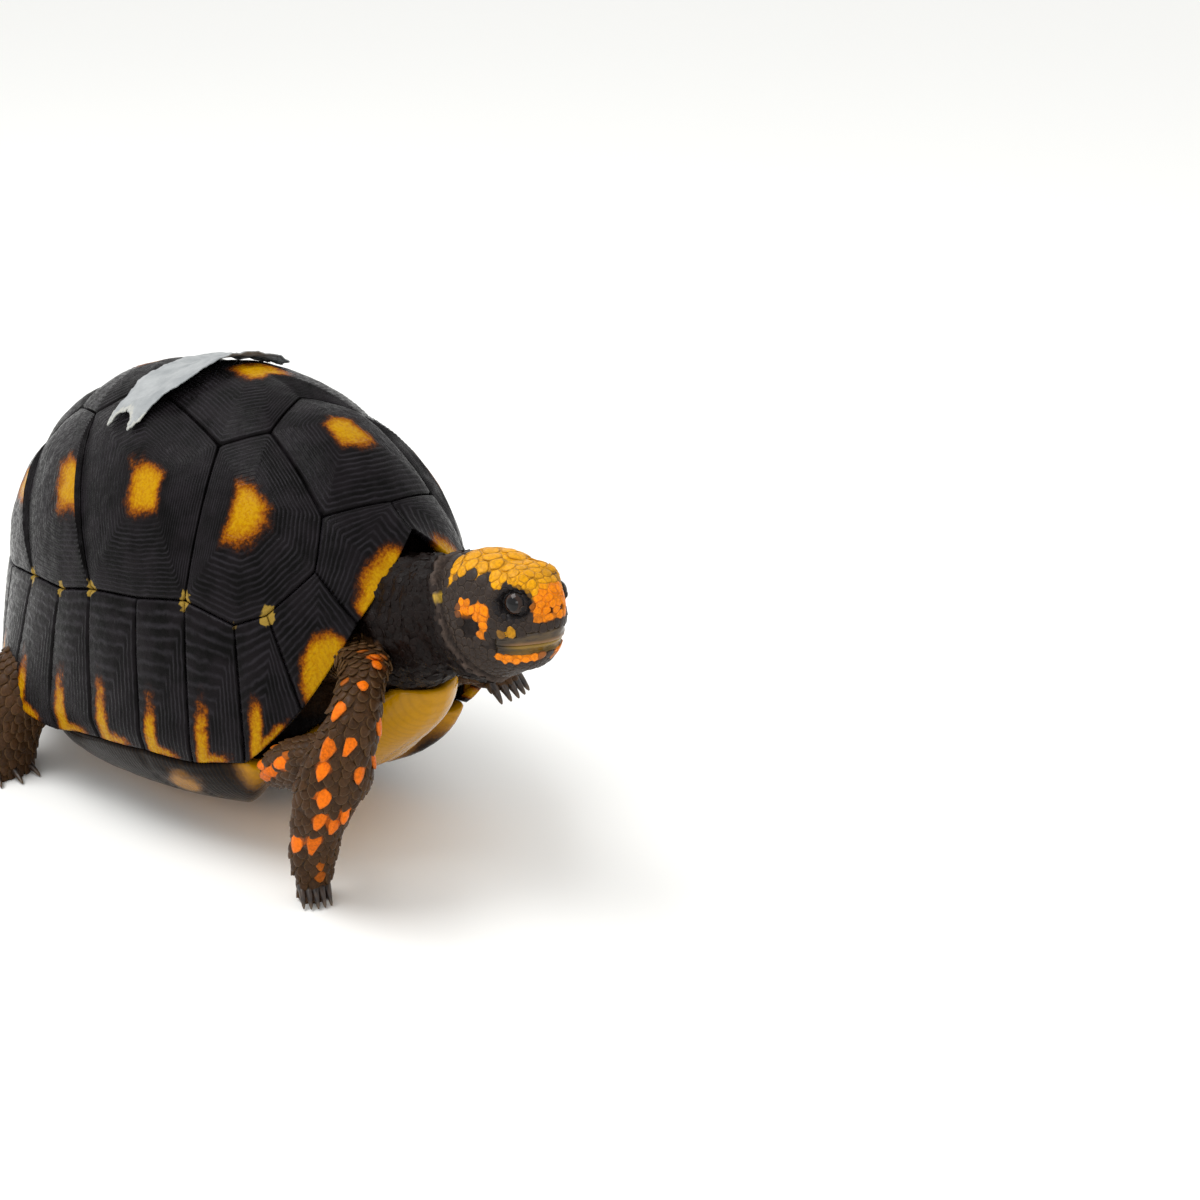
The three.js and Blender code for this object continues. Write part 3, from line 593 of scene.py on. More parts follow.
# %% The plastron's own form
LOBES = dict(hind=0.14, fore=0.16, turn_reach=22, rise_reach=20)
PLASTRON_HALF = [
    (6.8, 0), (15, -8), (23.4, -16.6), (30, -19), RIM[3], RIM[4], RIM[5], RIM[6], RIM[7],
    (127, -27.6), (136.9, -32.5), (150.5, -30), (167.5, -25.5)]


def plastron_radius(d):
    turn, rise = turn_and_rise(d)
    behind = LOBES["hind"] * smooth(-d[..., 0], 0.45, 0.95)
    from_tip = np.hypot(turn / LOBES["turn_reach"], rise / LOBES["rise_reach"])
    before = LOBES["fore"] * smooth(d[..., 0], 0.35, 0.85) * smooth(from_tip, 0, 1)
    before = before * (1 - smooth(np.abs(turn), 24, 35))
    return base_radius(d) * (1 - behind - before)


SCUTE_SEAMS = (64, 36, 22, -24, -54)


def plastron_piece():
    corners = directions([(0, -0.8), *PLASTRON_HALF, (180, -32), *mirrored(PLASTRON_HALF)[::-1]])
    heart = direction(0.0, -90.0)
    edge = outline_of(corners, heart, 0.1, 240, 1.0, plastron_radius)
    rows, under = closed_rows(np.concatenate([np.linspace(0.02, 0.9, 60), np.linspace(0.91, 1, 12)]))
    bm, row, turn = spun(rows, 240)
    reach = rows[row]
    d = unit(heart + (edge[turn] - heart) * reach[:, None])
    plain = d * plastron_radius(d)[:, None]
    x, y = plain[:, 0], plain[:, 1]
    bent = x + 0.12 * np.abs(y)
    across = np.min([np.abs(bent - seam) for seam in SCUTE_SEAMS], axis=0)
    groove = np.minimum(across, np.abs(y) * 0.9)
    rough, fine = cloud(plain, 9, 2, 1.3), cloud(plain, 2.4, 2, 8.2)
    side = np.where(reach > 0.9, (1 - reach) * 60, 9)
    height = -0.35 * (1 - smooth(groove, 0.1, 0.9)) + 0.12 * rough + 0.05 * fine
    height = height + 0.06 * ridge_profile(across / 1.6) * smooth(across, 0.8, 2.0)
    height = height - 0.7 * (1 - smooth(side, 0, 0.9)) ** 2
    # the bridge is darkened: partly the belly horn's own dark brown, partly painted shade, because the bridge lies in
    # shadow under the rim
    bridge = smooth(np.abs(y), 20, 30) * smooth(x, 54, 44)
    middle = np.exp(-(y / 11) ** 2) * smooth(-x, -42, -24)
    yellow = 1 - np.maximum(bridge * 0.93, 0.8 * middle * smooth(rough, -0.5, 0.3))
    spot = np.hypot((x - 26) / 9, (np.abs(y) - 37) / 5)
    yellow = np.maximum(yellow, 0.75 * (1 - smooth(spot + 0.3 * rough, 0.5, 1.1)))
    values = dict(reach=reach, phase=across / 1.4, amber=yellow, cream=0 * reach)
    points = on_shell(d * (plastron_radius(d) + height - 2.8 * under[row])[:, None])
    return finish_piece("plastron", bm, points, plastron_material(), ("plastron",), values)


def plastron_material():
    """Smooth belly horn: it gives the eye a waxy lemon yellow that breaks into dark brown bands; its darkest stop, used
    on the bridge, is deepened as painted shade.
    """
    material, tree, shader = new_material("tortoise_belly_horn")
    speck = grain(tree, 1.2, 4, 0.65)
    yellow = sums(tree, "MULTIPLY_ADD", sums(tree, "SUBTRACT", speck, 0.5), 0.35, value_of(tree, "amber"))
    ramp_node = add(tree, "ShaderNodeValToRGB", {0: yellow})
    # the first, darkest stop is partly painted shade for the bridge, which lies in shadow
    stops = [(0.1, "#120e0d"), (0.35, "#2a1a0e"), (0.6, "#6e4604"), (0.85, "#a87202"), (1.0, "#ba8404")]
    for place, hexcode in stops[1:-1]:
        ramp_node.color_ramp.elements.new(place)
    for element, (place, hexcode) in zip(ramp_node.color_ramp.elements, stops):
        element.position = place
        element.color = linear(hexcode)
    lines = sums(tree, "PINGPONG", sums(tree, "MULTIPLY", value_of(tree, "phase"), 2.0), 1.0)
    shade = sums(tree, "MULTIPLY", ranged(tree, lines, 0.4, 1.0), 0.12)
    brown = blend_colours(tree, shade, ramp_node.outputs[0], linear("#4a3410"))
    bump = raised(tree, sums(tree, "MULTIPLY_ADD", lines, 0.4, speck), 0.08)
    for key, value in {"Base Color": brown, "Normal": bump}.items():
        tree.links.new(value, shader.inputs[key])
    tree.links.new(ranged(tree, value_of(tree, "amber"), 0.2, 0.9, 0.03, 0.2), shader.inputs["Specular IOR Level"])
    shader.inputs["Roughness"].default_value = 0.16
    return material


plastron_piece()

# %% [markdown]
# ## The cloth tape
#
# A short strip of grey cloth tape is stuck across the highest plates. It is a flat grid bent over the
# shell: it clings along its rear edge, stands off along the edge towards the head, is creased where it
# crosses the ridge of the back and ends on the right in a ragged tear that shows its paler threads.

# %% The strip
TAPE = dict(right_end=(-4, -28.6), left_end=(0, 13), width=24, thick=0.35, clear=2.0, lift=2.6, taper=0.4)


def shell_top(x, y):
    z = np.full(len(x), SHELL["dome"])
    for _ in range(12):
        d = unit(np.stack([x, y, z], -1))
        z = np.sqrt(np.maximum(1, shell_radius(d) ** 2 - x * x - y * y))
    return unit(np.stack([x, y, z], -1))


def tape_piece():
    bm = bmesh.new()
    bmesh.ops.create_grid(bm, x_segments=84, y_segments=48, size=0.5)
    flat = flat_places(bm)
    share, side = flat[:, 0] + 0.5, flat[:, 1]
    start, end = np.array(TAPE["right_end"]), np.array(TAPE["left_end"])
    along = unit(end - start)
    across = np.array([along[1], -along[0]])
    width = TAPE["width"] * (1 - TAPE["taper"] * (1 - smooth(share, 0, 0.35)))
    jag = cloud(np.stack([side * 30, side * 0, side * 0 + 3], -1), 2.2, 3, 2.0)
    left_jag = cloud(np.stack([side * 30, side * 0, side * 0 + 9], -1), 3.0, 3, 5.0)
    tips = 3.4 * (hump(side, -0.36, 0.12) + 0.8 * hump(side, 0.34, 0.14)) - 1.2
    frayed = -(tips + 0.7 * jag) * (1 - smooth(share, 0, 0.14)) + 1.2 * left_jag * smooth(share, 0.9, 1)
    spot = start + (end - start) * share[:, None] + across * (side * width)[:, None]
    spot = spot + along * frayed[:, None]
    d = shell_top(spot[:, 0], spot[:, 1])
    crease = cloud(np.stack([spot[:, 0] * 0.35, spot[:, 1], 0 * share], -1), 4.2, 4, 7.7)
    fold = np.abs(cloud(np.stack([spot[:, 0] * 0.3, spot[:, 1] * 1.1, 0 * share], -1), 8, 2, 3.1))
    lift = TAPE["lift"] * smooth(side, -0.1, 0.5) * np.sin(math.pi * np.clip(share, 0.02, 1)) ** 0.7
    curl = 1.3 * smooth(side, 0.36, 0.5) * smooth(share, 0.25, 0.7)
    height = TAPE["clear"] + lift + 0.45 * crease + 0.9 * (0.3 - fold) * smooth(share, 0.3, 0.6) + curl
    height = height - 0.5 * (1 - smooth(side, -0.5, -0.3))
    face = d * (shell_radius(d) + height)[:, None]
    values = dict(torn=1 - smooth(share + 0.03 * jag, 0.0, 0.1))
    tape = closed_slab("tape_patch", bm, on_shell(face), on_shell(face - TAPE["thick"] * d),
                       tape_material(), values)
    return tape


def tape_material():
    """Polythene over cotton cloth: it gives the eye a dull silver grey with a faint weave."""
    material, tree, shader = new_material("grey_cloth_tape")
    cloudy = grain(tree, 5)
    grey = blend_colours(tree, ranged(tree, cloudy, 0.3, 0.7), linear("#84888a"), linear("#9c9fa0"))
    torn = ranged(tree, sums(tree, "MULTIPLY", value_of(tree, "torn"), grain(tree, 0.8, 4)), 0.28, 0.5)
    pale = blend_colours(tree, torn, grey, linear("#a9a9a2"))
    weave = grain(tree, 0.5, 1, 0.5, (1, 0.35, 1))
    crumpled = raised(tree, grain(tree, 3.0, 5, 0.6, (0.5, 1.4, 1)), 0.5)
    bump = raised(tree, weave, 0.05, crumpled)
    for key, value in {"Base Color": pale, "Normal": bump}.items():
        tree.links.new(value, shader.inputs[key])
    shader.inputs["Roughness"].default_value = 0.42
    return material


tape_piece()
print("with plastron and tape:", sum(pieces.values()), "faces")

# %% [markdown]
# ## One skin over all the flesh
#
# Under the scales the animal is wrapped in one leathery skin. Every limb, the neck and the head are
# drawn through a row of sections, like a hose whose rings change size, and the trunk is a ball drawn
# to the inside of the shell. These closed forms are then merged into one body, so that no seam shows.
# The skin lies a little inside the frame's solids, by the thickness of the scales.

# %% A form drawn through sections
COAT = 0.45      # mm of scale thickness between the skin and the outermost surface
HEAD_BACK = 104.0
NECK = [(50, 0, 60, 16, 17.5, 0), (62, -1, 62, 16, 17.8, 0), (74, -3, 65, 15.4, 17.6, 0),
        (86, -5.4, 69, 14.2, 17, 0), (96, -8, 73.6, 12.8, 16, 0)]
HEAD = [(104, -8, 77.2, 11.4, 15.2, 0), (108, -8, 77.8, 12.3, 16.5, 0), (113, -8, 78.6, 12.6, 16.6, 0),
        (118.5, -8, 80, 12, 15.4, 0), (124, -8, 81, 10.8, 13.9, 0), (128.6, -8, 81.8, 9, 12.4, 0),
        (131.6, -8, 82.8, 6.5, 10, 0), (133.8, -8, 84.2, 4.1, 7, 0), (134.9, -8, 85.4, 2.1, 3.6, 0)]
FORELEG_RIGHT = [
    (52, -13, 52, 9, 9, 75), (66, -16, 56, 8, 8, 68), (80, -22.5, 60.5, 7, 7, 48),
    (89.5, -30.5, 61, 6.2, 6.2, 24), (93, -35.5, 55.5, 6.6, 6.6, 10), (91.2, -38, 46.7, 8.2, 7, 4),
    (88, -39, 36.9, 9.2, 6.8, -8), (82.4, -39, 25.6, 7.3, 6, -14), (77.4, -38, 14.1, 6, 4.8, -12),
    (75.6, -37.2, 6.4, 4.8, 4, -4), (75, -37, 0, 3.9, 3.6, 0)]
ELBOW = [(86, -37, 42, 7, 7, 0), (76, -37.6, 38, 7, 6.8, 0), (67, -37.4, 34.4, 6.4, 6.2, 0),
         (60.6, -36.4, 31.8, 4.6, 4.4, 0), (57.6, -35.6, 30.6, 1.5, 1.5, 0)]
FORELEG_LEFT = [
    (50, 15, 50, 10, 10, 70), (58, 20, 47.4, 10, 9.4, 64), (64.4, 24.4, 44.2, 9, 8, 52),
    (68.4, 27, 43, 7.6, 6.8, 34), (70.2, 28.2, 41, 6.4, 5.8, 10), (70.6, 28.4, 39.4, 5.4, 5, 0)]
HINDLEG_RIGHT = [
    (-38, -14, 36, 12, 12, 55), (-43, -26, 34, 12.6, 12, 50), (-47, -36, 28, 12.6, 11.6, 35),
    (-50, -43.5, 20, 11.8, 11, 16), (-51.4, -48.4, 11, 10.8, 10.4, 4), (-52, -50.4, 4, 10.6, 10.4, 0),
    (-52, -51, 0, 10.2, 10, 0)]
HINDLEG_LEFT = [
    (-42, 14, 33, 12, 12, 55), (-42, 25, 31, 12.6, 12, 50), (-40, 34, 26, 12.6, 11.6, 35),
    (-37, 41, 19, 11.8, 11, 16), (-34.6, 45.6, 10.4, 10.8, 10.4, 4), (-34, 47.4, 4, 10.6, 10.4, 0),
    (-34, 48, 0, 10.2, 10, 0)]
TAIL = [(-58, 0, 33, 8, 7, 0), (-68, -0.6, 30, 7, 6.2, 0), (-76, -2.4, 26, 5.4, 5, 0),
        (-82, -5.6, 21, 3.6, 3.5, 0), (-85.6, -9.4, 16.4, 1, 1, 0)]


def level(x, y):
    return unit(np.array([x, y, 0.0]))


LEFTWARD, UPWARD = np.array([0.0, 1, 0]), np.array([0.0, 0, 1])
FORMS = {   # stations, wide axis, deep axis, rings, points around, fullness
    "neck_head": (NECK + HEAD, LEFTWARD, UPWARD, 190, 128, 2.35),
    "foreleg_right": (FORELEG_RIGHT, level(0.45, 0.89), level(0.89, -0.45), 110, 72, 2.2),
    "elbow": (ELBOW, LEFTWARD, UPWARD, 40, 40, 2.2),
    "foreleg_left": (FORELEG_LEFT, level(-0.34, 0.94), level(0.94, 0.34), 56, 60, 2.2),
    "hindleg_right": (HINDLEG_RIGHT, level(0.97, 0.25), level(0.25, -0.97), 72, 64, 2.2),
    "hindleg_left": (HINDLEG_LEFT, level(0.97, -0.25), level(0.25, 0.97), 72, 64, 2.2),
    "tail": (TAIL, LEFTWARD, UPWARD, 44, 40, 2.2),
}


def along_stations(stations, t):
    """Catmull-Rom through the stations; t runs from 0 to 1."""
    table = np.array(stations, float)
    padded = np.vstack([2 * table[0] - table[1], table, 2 * table[-1] - table[-2]])
    place = np.clip(t, 0, 1) * (len(table) - 1)
    k = np.minimum(place.astype(int), len(table) - 2)
    u = (place - k)[:, None]
    a, b, c, d = (padded[k + j] for j in range(4))
    return 0.5 * (2 * b + (c - a) * u + (2 * a - 5 * b + 4 * c - d) * u ** 2
                  + (3 * b - a - 3 * c + d) * u ** 3)


def on_form(name, t, turn, reach=1.0, grow=0.0):
    """Place on a form at t along it, turn in radians round it and reach from its middle line."""
    stations, wide_axis, deep_axis, rings, around, square = FORMS[name]
    row = along_stations(stations, t)
    c, s = np.cos(turn), np.sin(turn)
    fullness = reach * (np.abs(c) ** square + np.abs(s) ** square) ** (-1 / square)
    lean = np.radians(row[:, 5])
    wide, deep = row[:, 3] + grow, row[:, 4] + grow
    out = row[:, :3] + wide_axis * (fullness * c * wide)[:, None]
    out = out + deep_axis * (fullness * s * deep * np.cos(lean))[:, None]
    return out + UPWARD * (fullness * s * deep * np.sin(lean))[:, None]


def form_normals(name, t, turn):
    """Outward direction by small steps along and around the form."""
    e = 0.004
    ahead = on_form(name, np.clip(t + e, 0, 1), turn) - on_form(name, np.clip(t - e, 0, 1), turn)
    round_ = on_form(name, t, turn + 0.02) - on_form(name, t, turn - 0.02)
    n = unit(np.cross(round_, ahead))
    away = on_form(name, t, turn) - along_stations(FORMS[name][0], t)[:, :3]
    return n * np.sign(np.einsum("ij,ij->i", n, away))[:, None]


# %% [markdown]
# ### The head's own shape
#
# The head starts as the same kind of hose and is then pushed in and out by small named features: the
# loose hood of neck skin that it slides out of, the lids round the deep-set eyes, the round eardrum,
# the nostrils and the slot where the horn of the jaws sits.

# %% Features of the head
HOOD = np.array([(64, 118.4), (65.4, 117.3), (69, 115.3), (72.4, 112.3), (75.6, 109.6), (80.6, 106.7),
                 (85.1, 104.3), (89.1, 100.6), (93, 98.4), (98, 97.6)])
EARDRUM = (117.1, 79.9)
NOSTRIL = (134.7, 1.6, 85.9)
MOUTH = dict(corner_x=123.6, tip_x=142.0)
UPPER_LINE, LIP_LINE, CHIN_LINE = (77.9, 83.3), (76.2, 78.6), (74.2, 75.0)


def line_height(line, x):
    share = (x - MOUTH["corner_x"]) / (MOUTH["tip_x"] - MOUTH["corner_x"])
    return line[0] + (line[1] - line[0]) * share


def behind_hood(p):
    """How far a place lies in front of the hood's edge; negative is on the neck."""
    return p[:, 0] - np.interp(p[:, 2], HOOD[:, 0], HOOD[:, 1])


def head_relief(p):
    """Height in mm to add to the neck and head at each place."""
    x, side, z = p[:, 0], np.abs(p[:, 1] - HEAD_MIDDLE), p[:, 2]
    s = behind_hood(p)
    rough = cloud(p * (1, 1, 1), 6, 3, 0.7)
    h = 0.9 * hump(s, -2.0, 1.9) - 1.5 * hump(s, 0.5, 0.8) + 0.35 * hump(s, 3.6, 2.0)
    neck = 1 - smooth(s, -3, 0)
    wobble = cloud(p * (0.25, 1, 1), 5, 3, 5.1)
    rings = np.sin(2 * math.pi * (x + 0.5 * z) / 6.2 + 2.2 * rough)
    h = h + neck * (0.45 * rings * smooth(x, 60, 78) + 0.75 * wobble + 0.5 * rough)
    h = h + (1 - neck) * 0.12 * rough
    flat_side = smooth(side, 6, 9)
    drum = np.hypot(x - EARDRUM[0], (z - EARDRUM[1]) * 0.9)
    h = h - 0.75 * flat_side * (1 - smooth(drum, 1.9, 3.2)) + 0.22 * flat_side * hump(drum, 3.8, 0.8)
    h = h + 0.55 * flat_side * hump(x, 121.4, 3.2) * hump(z, 84.4, 3.0)
    h = h + 0.7 * hump(x, 127.0, 3.2) * hump(side, 5.2, 1.8) * smooth(z, 88, 91)
    h = h - 0.6 * hump(x, 120.8, 2.4) * smooth(z, 88, 92)
    h = h - 0.35 * hump(side, 0, 2.0) * smooth(z, 88, 92) * smooth(x, 112, 120)
    upper, chin = line_height(UPPER_LINE, x), line_height(CHIN_LINE, x)
    jaw = smooth(x, MOUTH["corner_x"] - 0.3, MOUTH["corner_x"] + 0.5)
    jaw = jaw * smooth(z, chin - 0.3, chin + 0.3) * (1 - smooth(z, upper - 0.3, upper + 0.3))
    h = h - 1.0 * jaw
    lip = line_height(LIP_LINE, x)
    h = h - 0.5 * hump(z, lip, 0.5) * smooth(x, 119.5, 122.5) * (1 - smooth(x, 123.6, 125)) * flat_side
    nose = np.sqrt((x - NOSTRIL[0]) ** 2 + (side - NOSTRIL[1]) ** 2 + (z - NOSTRIL[2]) ** 2)
    h = h - 1.0 * (1 - smooth(nose, 0.35, 0.95)) + 0.12 * hump(nose, 1.3, 0.4)
    return h


EYE_AXIS = unit(np.array([0.34, 1.0, 0.16]))


def set_eyes(p):
    """Draws the skin round the eyeballs: an oval opening, thick lids and a groove behind them."""
    p = p.copy()
    for side in (1, -1):
        axis = EYE_AXIS * (1, side, 1)
        middle = np.array([EYE["x"], HEAD_MIDDLE + side * EYE["from_middle"], EYE["z"]])
        away = p - middle
        height = away @ axis
        flat = away - height[:, None] * axis
        ahead = unit(np.cross(UPWARD, axis)) * side
        up = np.cross(axis, ahead) * side
        off = np.hypot(flat @ ahead * 0.94, flat @ up * 1.1)
        near = (height > -1.5) & (off < 6.5)
        ball = np.sqrt(np.maximum(EYE["radius"] ** 2 - off ** 2, 0.0))
        opening = 1 - smooth(off, 2.25, 2.6)
        lid = smooth(off, 2.25, 2.75) * (1 - smooth(off, 3.3, 4.3))
        crease = hump(off, 4.5, 0.5) * 0.4
        target = np.where(lid > 0, (ball + 0.2) * lid + height * (1 - lid), height)
        target = target * (1 - opening) + (ball - 1.3) * opening - crease
        p[near] += (target - height)[near, None] * axis
    return p


# %% The forms and the trunk, merged
POCKETS = [dict(depth=0.2, turn=0, rise=9, across=42, upright=30),
           dict(depth=0.2, turn=180, rise=-20, across=54, upright=22)]


def tube_mesh(name, grow):
    rings, around = FORMS[name][3], FORMS[name][4]
    reaches = np.concatenate([[0, 0.35, 0.7, 0.9], np.ones(rings + 1), [0.9, 0.7, 0.35, 0]])
    t = np.concatenate([np.zeros(4), np.linspace(0, 1, rings + 1), np.ones(4)])
    bm, row, turn = spun(reaches, around)
    angle = turn * 2 * math.pi / around
    points = on_form(name, t[row], angle, reaches[row], grow)
    if name == "neck_head":
        side = reaches[row] == 1
        bulge = head_relief(points) * side
        points = points + form_normals(name, t[row], angle) * bulge[:, None]
        points = set_eyes(points)
    elif name != "elbow":
        fold = cloud(points * (1, 1, 0.6), 5, 3, 2.2) * 0.5 * (reaches[row] == 1)
        points = points + form_normals(name, t[row], angle) * fold[:, None]
    if name != "neck_head" and FORMS[name][0][-1][2] == 0:
        points[:, 2] = np.maximum(points[:, 2], 0.05)
    return bm, points


def trunk_mesh(grow):
    rows = np.linspace(0, math.pi, 81)
    bm, row, turn = spun(np.sin(rows), 120)
    rise = 90 - np.degrees(rows[row])
    d = direction(np.where(turn > 60, turn - 120, turn) * 3.0, rise)
    across, upright = turn_and_rise(d)
    low = smooth(-upright, 12, 26)
    clear = 4.4 + (7.5 - 4.4) * low
    full = np.where(upright < 0, plastron_radius(d), base_radius(d)) - clear
    sunk = np.ones(len(d))
    for pocket in POCKETS:
        off = np.hypot((np.abs(across) - pocket["turn"]) / pocket["across"],
                       (upright - pocket["rise"]) / pocket["upright"])
        sunk = sunk - pocket["depth"] * (1 - smooth(off, 0.62, 1.1))
    points = d * (full * sunk + grow)[:, None]
    folds = cloud(points, 7, 3, 6.1) * (sunk < 0.99) * 0.9
    return bm, on_shell(points + d * (folds - 0.3)[:, None])


def plain_object(name, bm, points):
    bmesh.ops.recalc_face_normals(bm, faces=bm.faces)
    mesh = bpy.data.meshes.new(name)
    bm.to_mesh(mesh)
    bm.free()
    mesh.vertices.foreach_set("co", to_frame(points).astype(np.float32).ravel())
    outward(mesh)
    solid = bpy.data.objects.new(name, mesh)
    bpy.context.scene.collection.objects.link(solid)
    return solid


def evaluated(thing):
    return bpy.data.meshes.new_from_object(thing.evaluated_get(bpy.context.evaluated_depsgraph_get()))


def merged_skin():
    """All the forms joined into one closed body by exact unions."""
    body = plain_object("trunk_form", *trunk_mesh(0.0))
    tools = [body]
    for name in FORMS:
        tool = plain_object(name + "_form", *tube_mesh(name, -COAT))
        cut = body.modifiers.new(name, "BOOLEAN")
        cut.operation, cut.object, cut.solver = "UNION", tool, SOLVER
        tools.append(tool)
    mesh = evaluated(body)
    for thing in tools:
        bpy.data.objects.remove(thing)
    return mesh


SOLVER = "MANIFOLD" if hasattr(bpy.types.BooleanModifier, "solver") else "EXACT"
skin_mesh = merged_skin()
print("skin:", len(skin_mesh.vertices), "points,", len(skin_mesh.polygons), "faces")

# %% [markdown]
# ## Markings
#
# The dark skin carries orange and yellow flecks. One function tells the colour at any place, and both
# the skin and every scale on it ask that function, so that the flecks run on between the scales.

# %% The colour at a place
SKIN_TONES = dict(neck="#100806", head="#2e2622", leg="#3c2715", tail="#382414")
ORANGE, AMBER, YELLOW = "#da7802", "#c68804", "#a8861a"
LEG_ORANGE = "#d06202"
HEAD_MARKS = [   # x, z, half-length, half-height, tilt in degrees, colour
    (115.4, 83.4, 2.6, 2.0, 0, ORANGE), (120.6, 83.8, 2.8, 2.7, 0, ORANGE), (121.4, 80.2, 0.8, 3.0, 0, ORANGE),
    (127.4, 79.5, 1.4, 1.9, -25, AMBER), (126.0, 73.0, 2.6, 1.5, -8, ORANGE), (129.8, 73.9, 2.6, 1.5, -8, ORANGE),
    (134.4, 86.8, 2.5, 3.4, 0, ORANGE), (133.0, 90.8, 2.2, 3.0, 0, AMBER), (134.9, 89.0, 2.8, 4.0, 0, ORANGE),
    (107.6, 90.4, 1.5, 3.2, 20, AMBER), (123.0, 91.6, 1.5, 2.0, 0, AMBER), (128.3, 91.4, 1.5, 1.5, 0, AMBER),
    (130.2, 90.4, 0.9, 1.9, 0, AMBER), (104.4, 83.4, 1.6, 1.3, 0, YELLOW)]
CROWN = dict(height=91.4, back=108.0, front=132.0)
LEG_SPOTS = [   # orange scales of the right foreleg
    (87.9, -25.2, 65.3), (90.4, -26.9, 62.6), (93.5, -34.1, 59.7), (93.6, -38.9, 56.4), (95.8, -34.1, 53.1),
    (95.1, -38.8, 50.8), (93.2, -42.8, 48.8), (95.2, -30.6, 50.9), (95, -33, 43), (92.2, -44.4, 43.7),
    (95.3, -37.5, 41.6), (90.7, -45.1, 35.6), (91, -38.2, 29.4), (87.9, -43.2, 27.5), (88.6, -39.9, 25.7),
    (79.9, -45.1, 20.1), (83.9, -42.7, 20.2), (70, -44.4, 35.0), (66, -43.6, 32.6), (74.5, -44.8, 38.5),
    (62, -41.5, 33.5)]


def oval(x, z, mark):
    tilt = math.radians(mark[4])
    dx, dz = x - mark[0], z - mark[1]
    along = dx * math.cos(tilt) + dz * math.sin(tilt)
    up = dz * math.cos(tilt) - dx * math.sin(tilt)
    return np.hypot(along / mark[2], up / mark[3])


def head_colours(p, base):
    x, z = p[:, 0], p[:, 2]
    side = np.abs(p[:, 1] - HEAD_MIDDLE)
    ragged = 0.22 * cloud(p, 2.4, 2, 3.3)
    colour = base
    for mark in HEAD_MARKS:
        share = 1 - smooth(oval(x, z, mark) + ragged, 0.88, 1.12)
        share = share * smooth(side, 1.5, 3.0) if mark[1] < 84 and mark[0] < 131 else share
        colour = mixed(colour, mark[5], share)
    lobes = 0.9 * np.sin(x * 1.15) + 1.6 * ragged
    crown = smooth(z + lobes, CROWN["height"] + 0.2, CROWN["height"] + 0.6)
    crown = crown * smooth(x, CROWN["back"] - 2, CROWN["back"] + 1) * (1 - smooth(x, 130.5, 132))
    patchy = smooth(cloud(p, 6, 2, 9.1), -0.45, -0.15)
    colour = mixed(colour, AMBER, crown * (0.93 + 0.07 * patchy))
    drum = np.hypot(x - EARDRUM[0], z - EARDRUM[1])
    colour = mixed(colour, "#15100f", (1 - smooth(drum, 2.6, 3.6)) * 0.7 * smooth(side, 6, 9))
    eye = np.hypot(x - EYE["x"], z - EYE["z"])
    colour = mixed(colour, "#1b1819", (1 - smooth(eye, 3.6, 4.8)) * smooth(side, 3, 5))
    # painted shade: the skin at the nostril pit is darkened to near black, standing in for the shade inside the opening
    nose = np.sqrt((x - NOSTRIL[0]) ** 2 + (side - NOSTRIL[1]) ** 2 + (z - NOSTRIL[2]) ** 2)
    return mixed(colour, "#1a1210", 1 - smooth(nose, 0.5, 1.1))


def mixed(colour, hexcode, share):
    return colour + (np.array(linear(hexcode)[:3]) - colour) * np.asarray(share)[:, None]


def plain_tone(name, count):
    return np.tile(linear(SKIN_TONES[name])[:3], (count, 1))


def skin_colours(p, region):
    """The skin's colour at places p; region tells for each whether it is neck, head, leg or tail."""
    colour = np.empty((len(p), 3))
    for name in SKIN_TONES:
        of_it = region == name
        colour[of_it] = plain_tone(name, of_it.sum())
    s = behind_hood(p)
    headish = (region == "head") | (region == "neck")
    front = headish & (s > -1.5)
    if front.any():
        colour[front] = head_colours(p[front], colour[front])
    fold = headish & (np.abs(s + 1.6) < 3)
    colour[fold] = mixed(colour[fold], "#6a5a50", 0.4 * hump(s[fold], -1.0, 0.7))
    legs = region == "leg"
    if legs.any():
        near = np.min([np.linalg.norm(p[legs] - spot, axis=1) for spot in LEG_SPOTS], axis=0)
        colour[legs] = mixed(colour[legs], LEG_ORANGE, 0.75 * (1 - smooth(near, 1.6, 2.6)))
    return colour


# %% Where on the body a place lies
MIDDLE_LINES = {}
for name, (stations, *_rest) in FORMS.items():
    line_t = np.linspace(0, 1, 90)
    line = along_stations(stations, line_t)
    MIDDLE_LINES[name] = (line_t, line)


def nearest_form(p):
    """For each place the form it belongs to, how far along it is, and the way down the limb."""
    best = np.full(len(p), 9e9)
    which = np.zeros(len(p), int)
    t = np.zeros(len(p))
    lie = np.zeros((len(p), 3))
    for number, (name, (line_t, line)) in enumerate(MIDDLE_LINES.items()):
        heading = unit(np.gradient(line[:, :3], axis=0))
        for start in range(0, len(p), 4000):
            part = slice(start, start + 4000)
            off = np.linalg.norm(p[part, None] - line[None, :, :3], axis=2)
            off = off / (0.5 * (line[:, 3] + line[:, 4]))
            k = off.argmin(axis=1)
            value = off[np.arange(len(k)), k]
            closer = np.nonzero(value < best[part])[0]
            spots = closer + start
            best[spots] = value[closer]
            which[spots] = number
            t[spots] = line_t[k[closer]]
            lie[spots] = heading[k[closer]]
    return which, t, lie


NAMES = list(FORMS)


def region_of(p, which):
    region = np.full(len(p), "leg", dtype="<U5")
    region[which == NAMES.index("tail")] = "tail"
    on_head = which == NAMES.index("neck_head")
    region[on_head] = np.where(behind_hood(p[on_head]) > 0, "head", "neck")
    return region


def outside_shell(p):
    """How far out a place lies, with 1 on the shell's own surface."""
    inner = (p - np.array(TILT["centre"])) @ np.array(TIP)
    size = np.linalg.norm(inner, axis=1)
    d = inner / size[:, None]
    return size / np.where(d[:, 2] < 0, np.minimum(base_radius(d), plastron_radius(d)), base_radius(d))


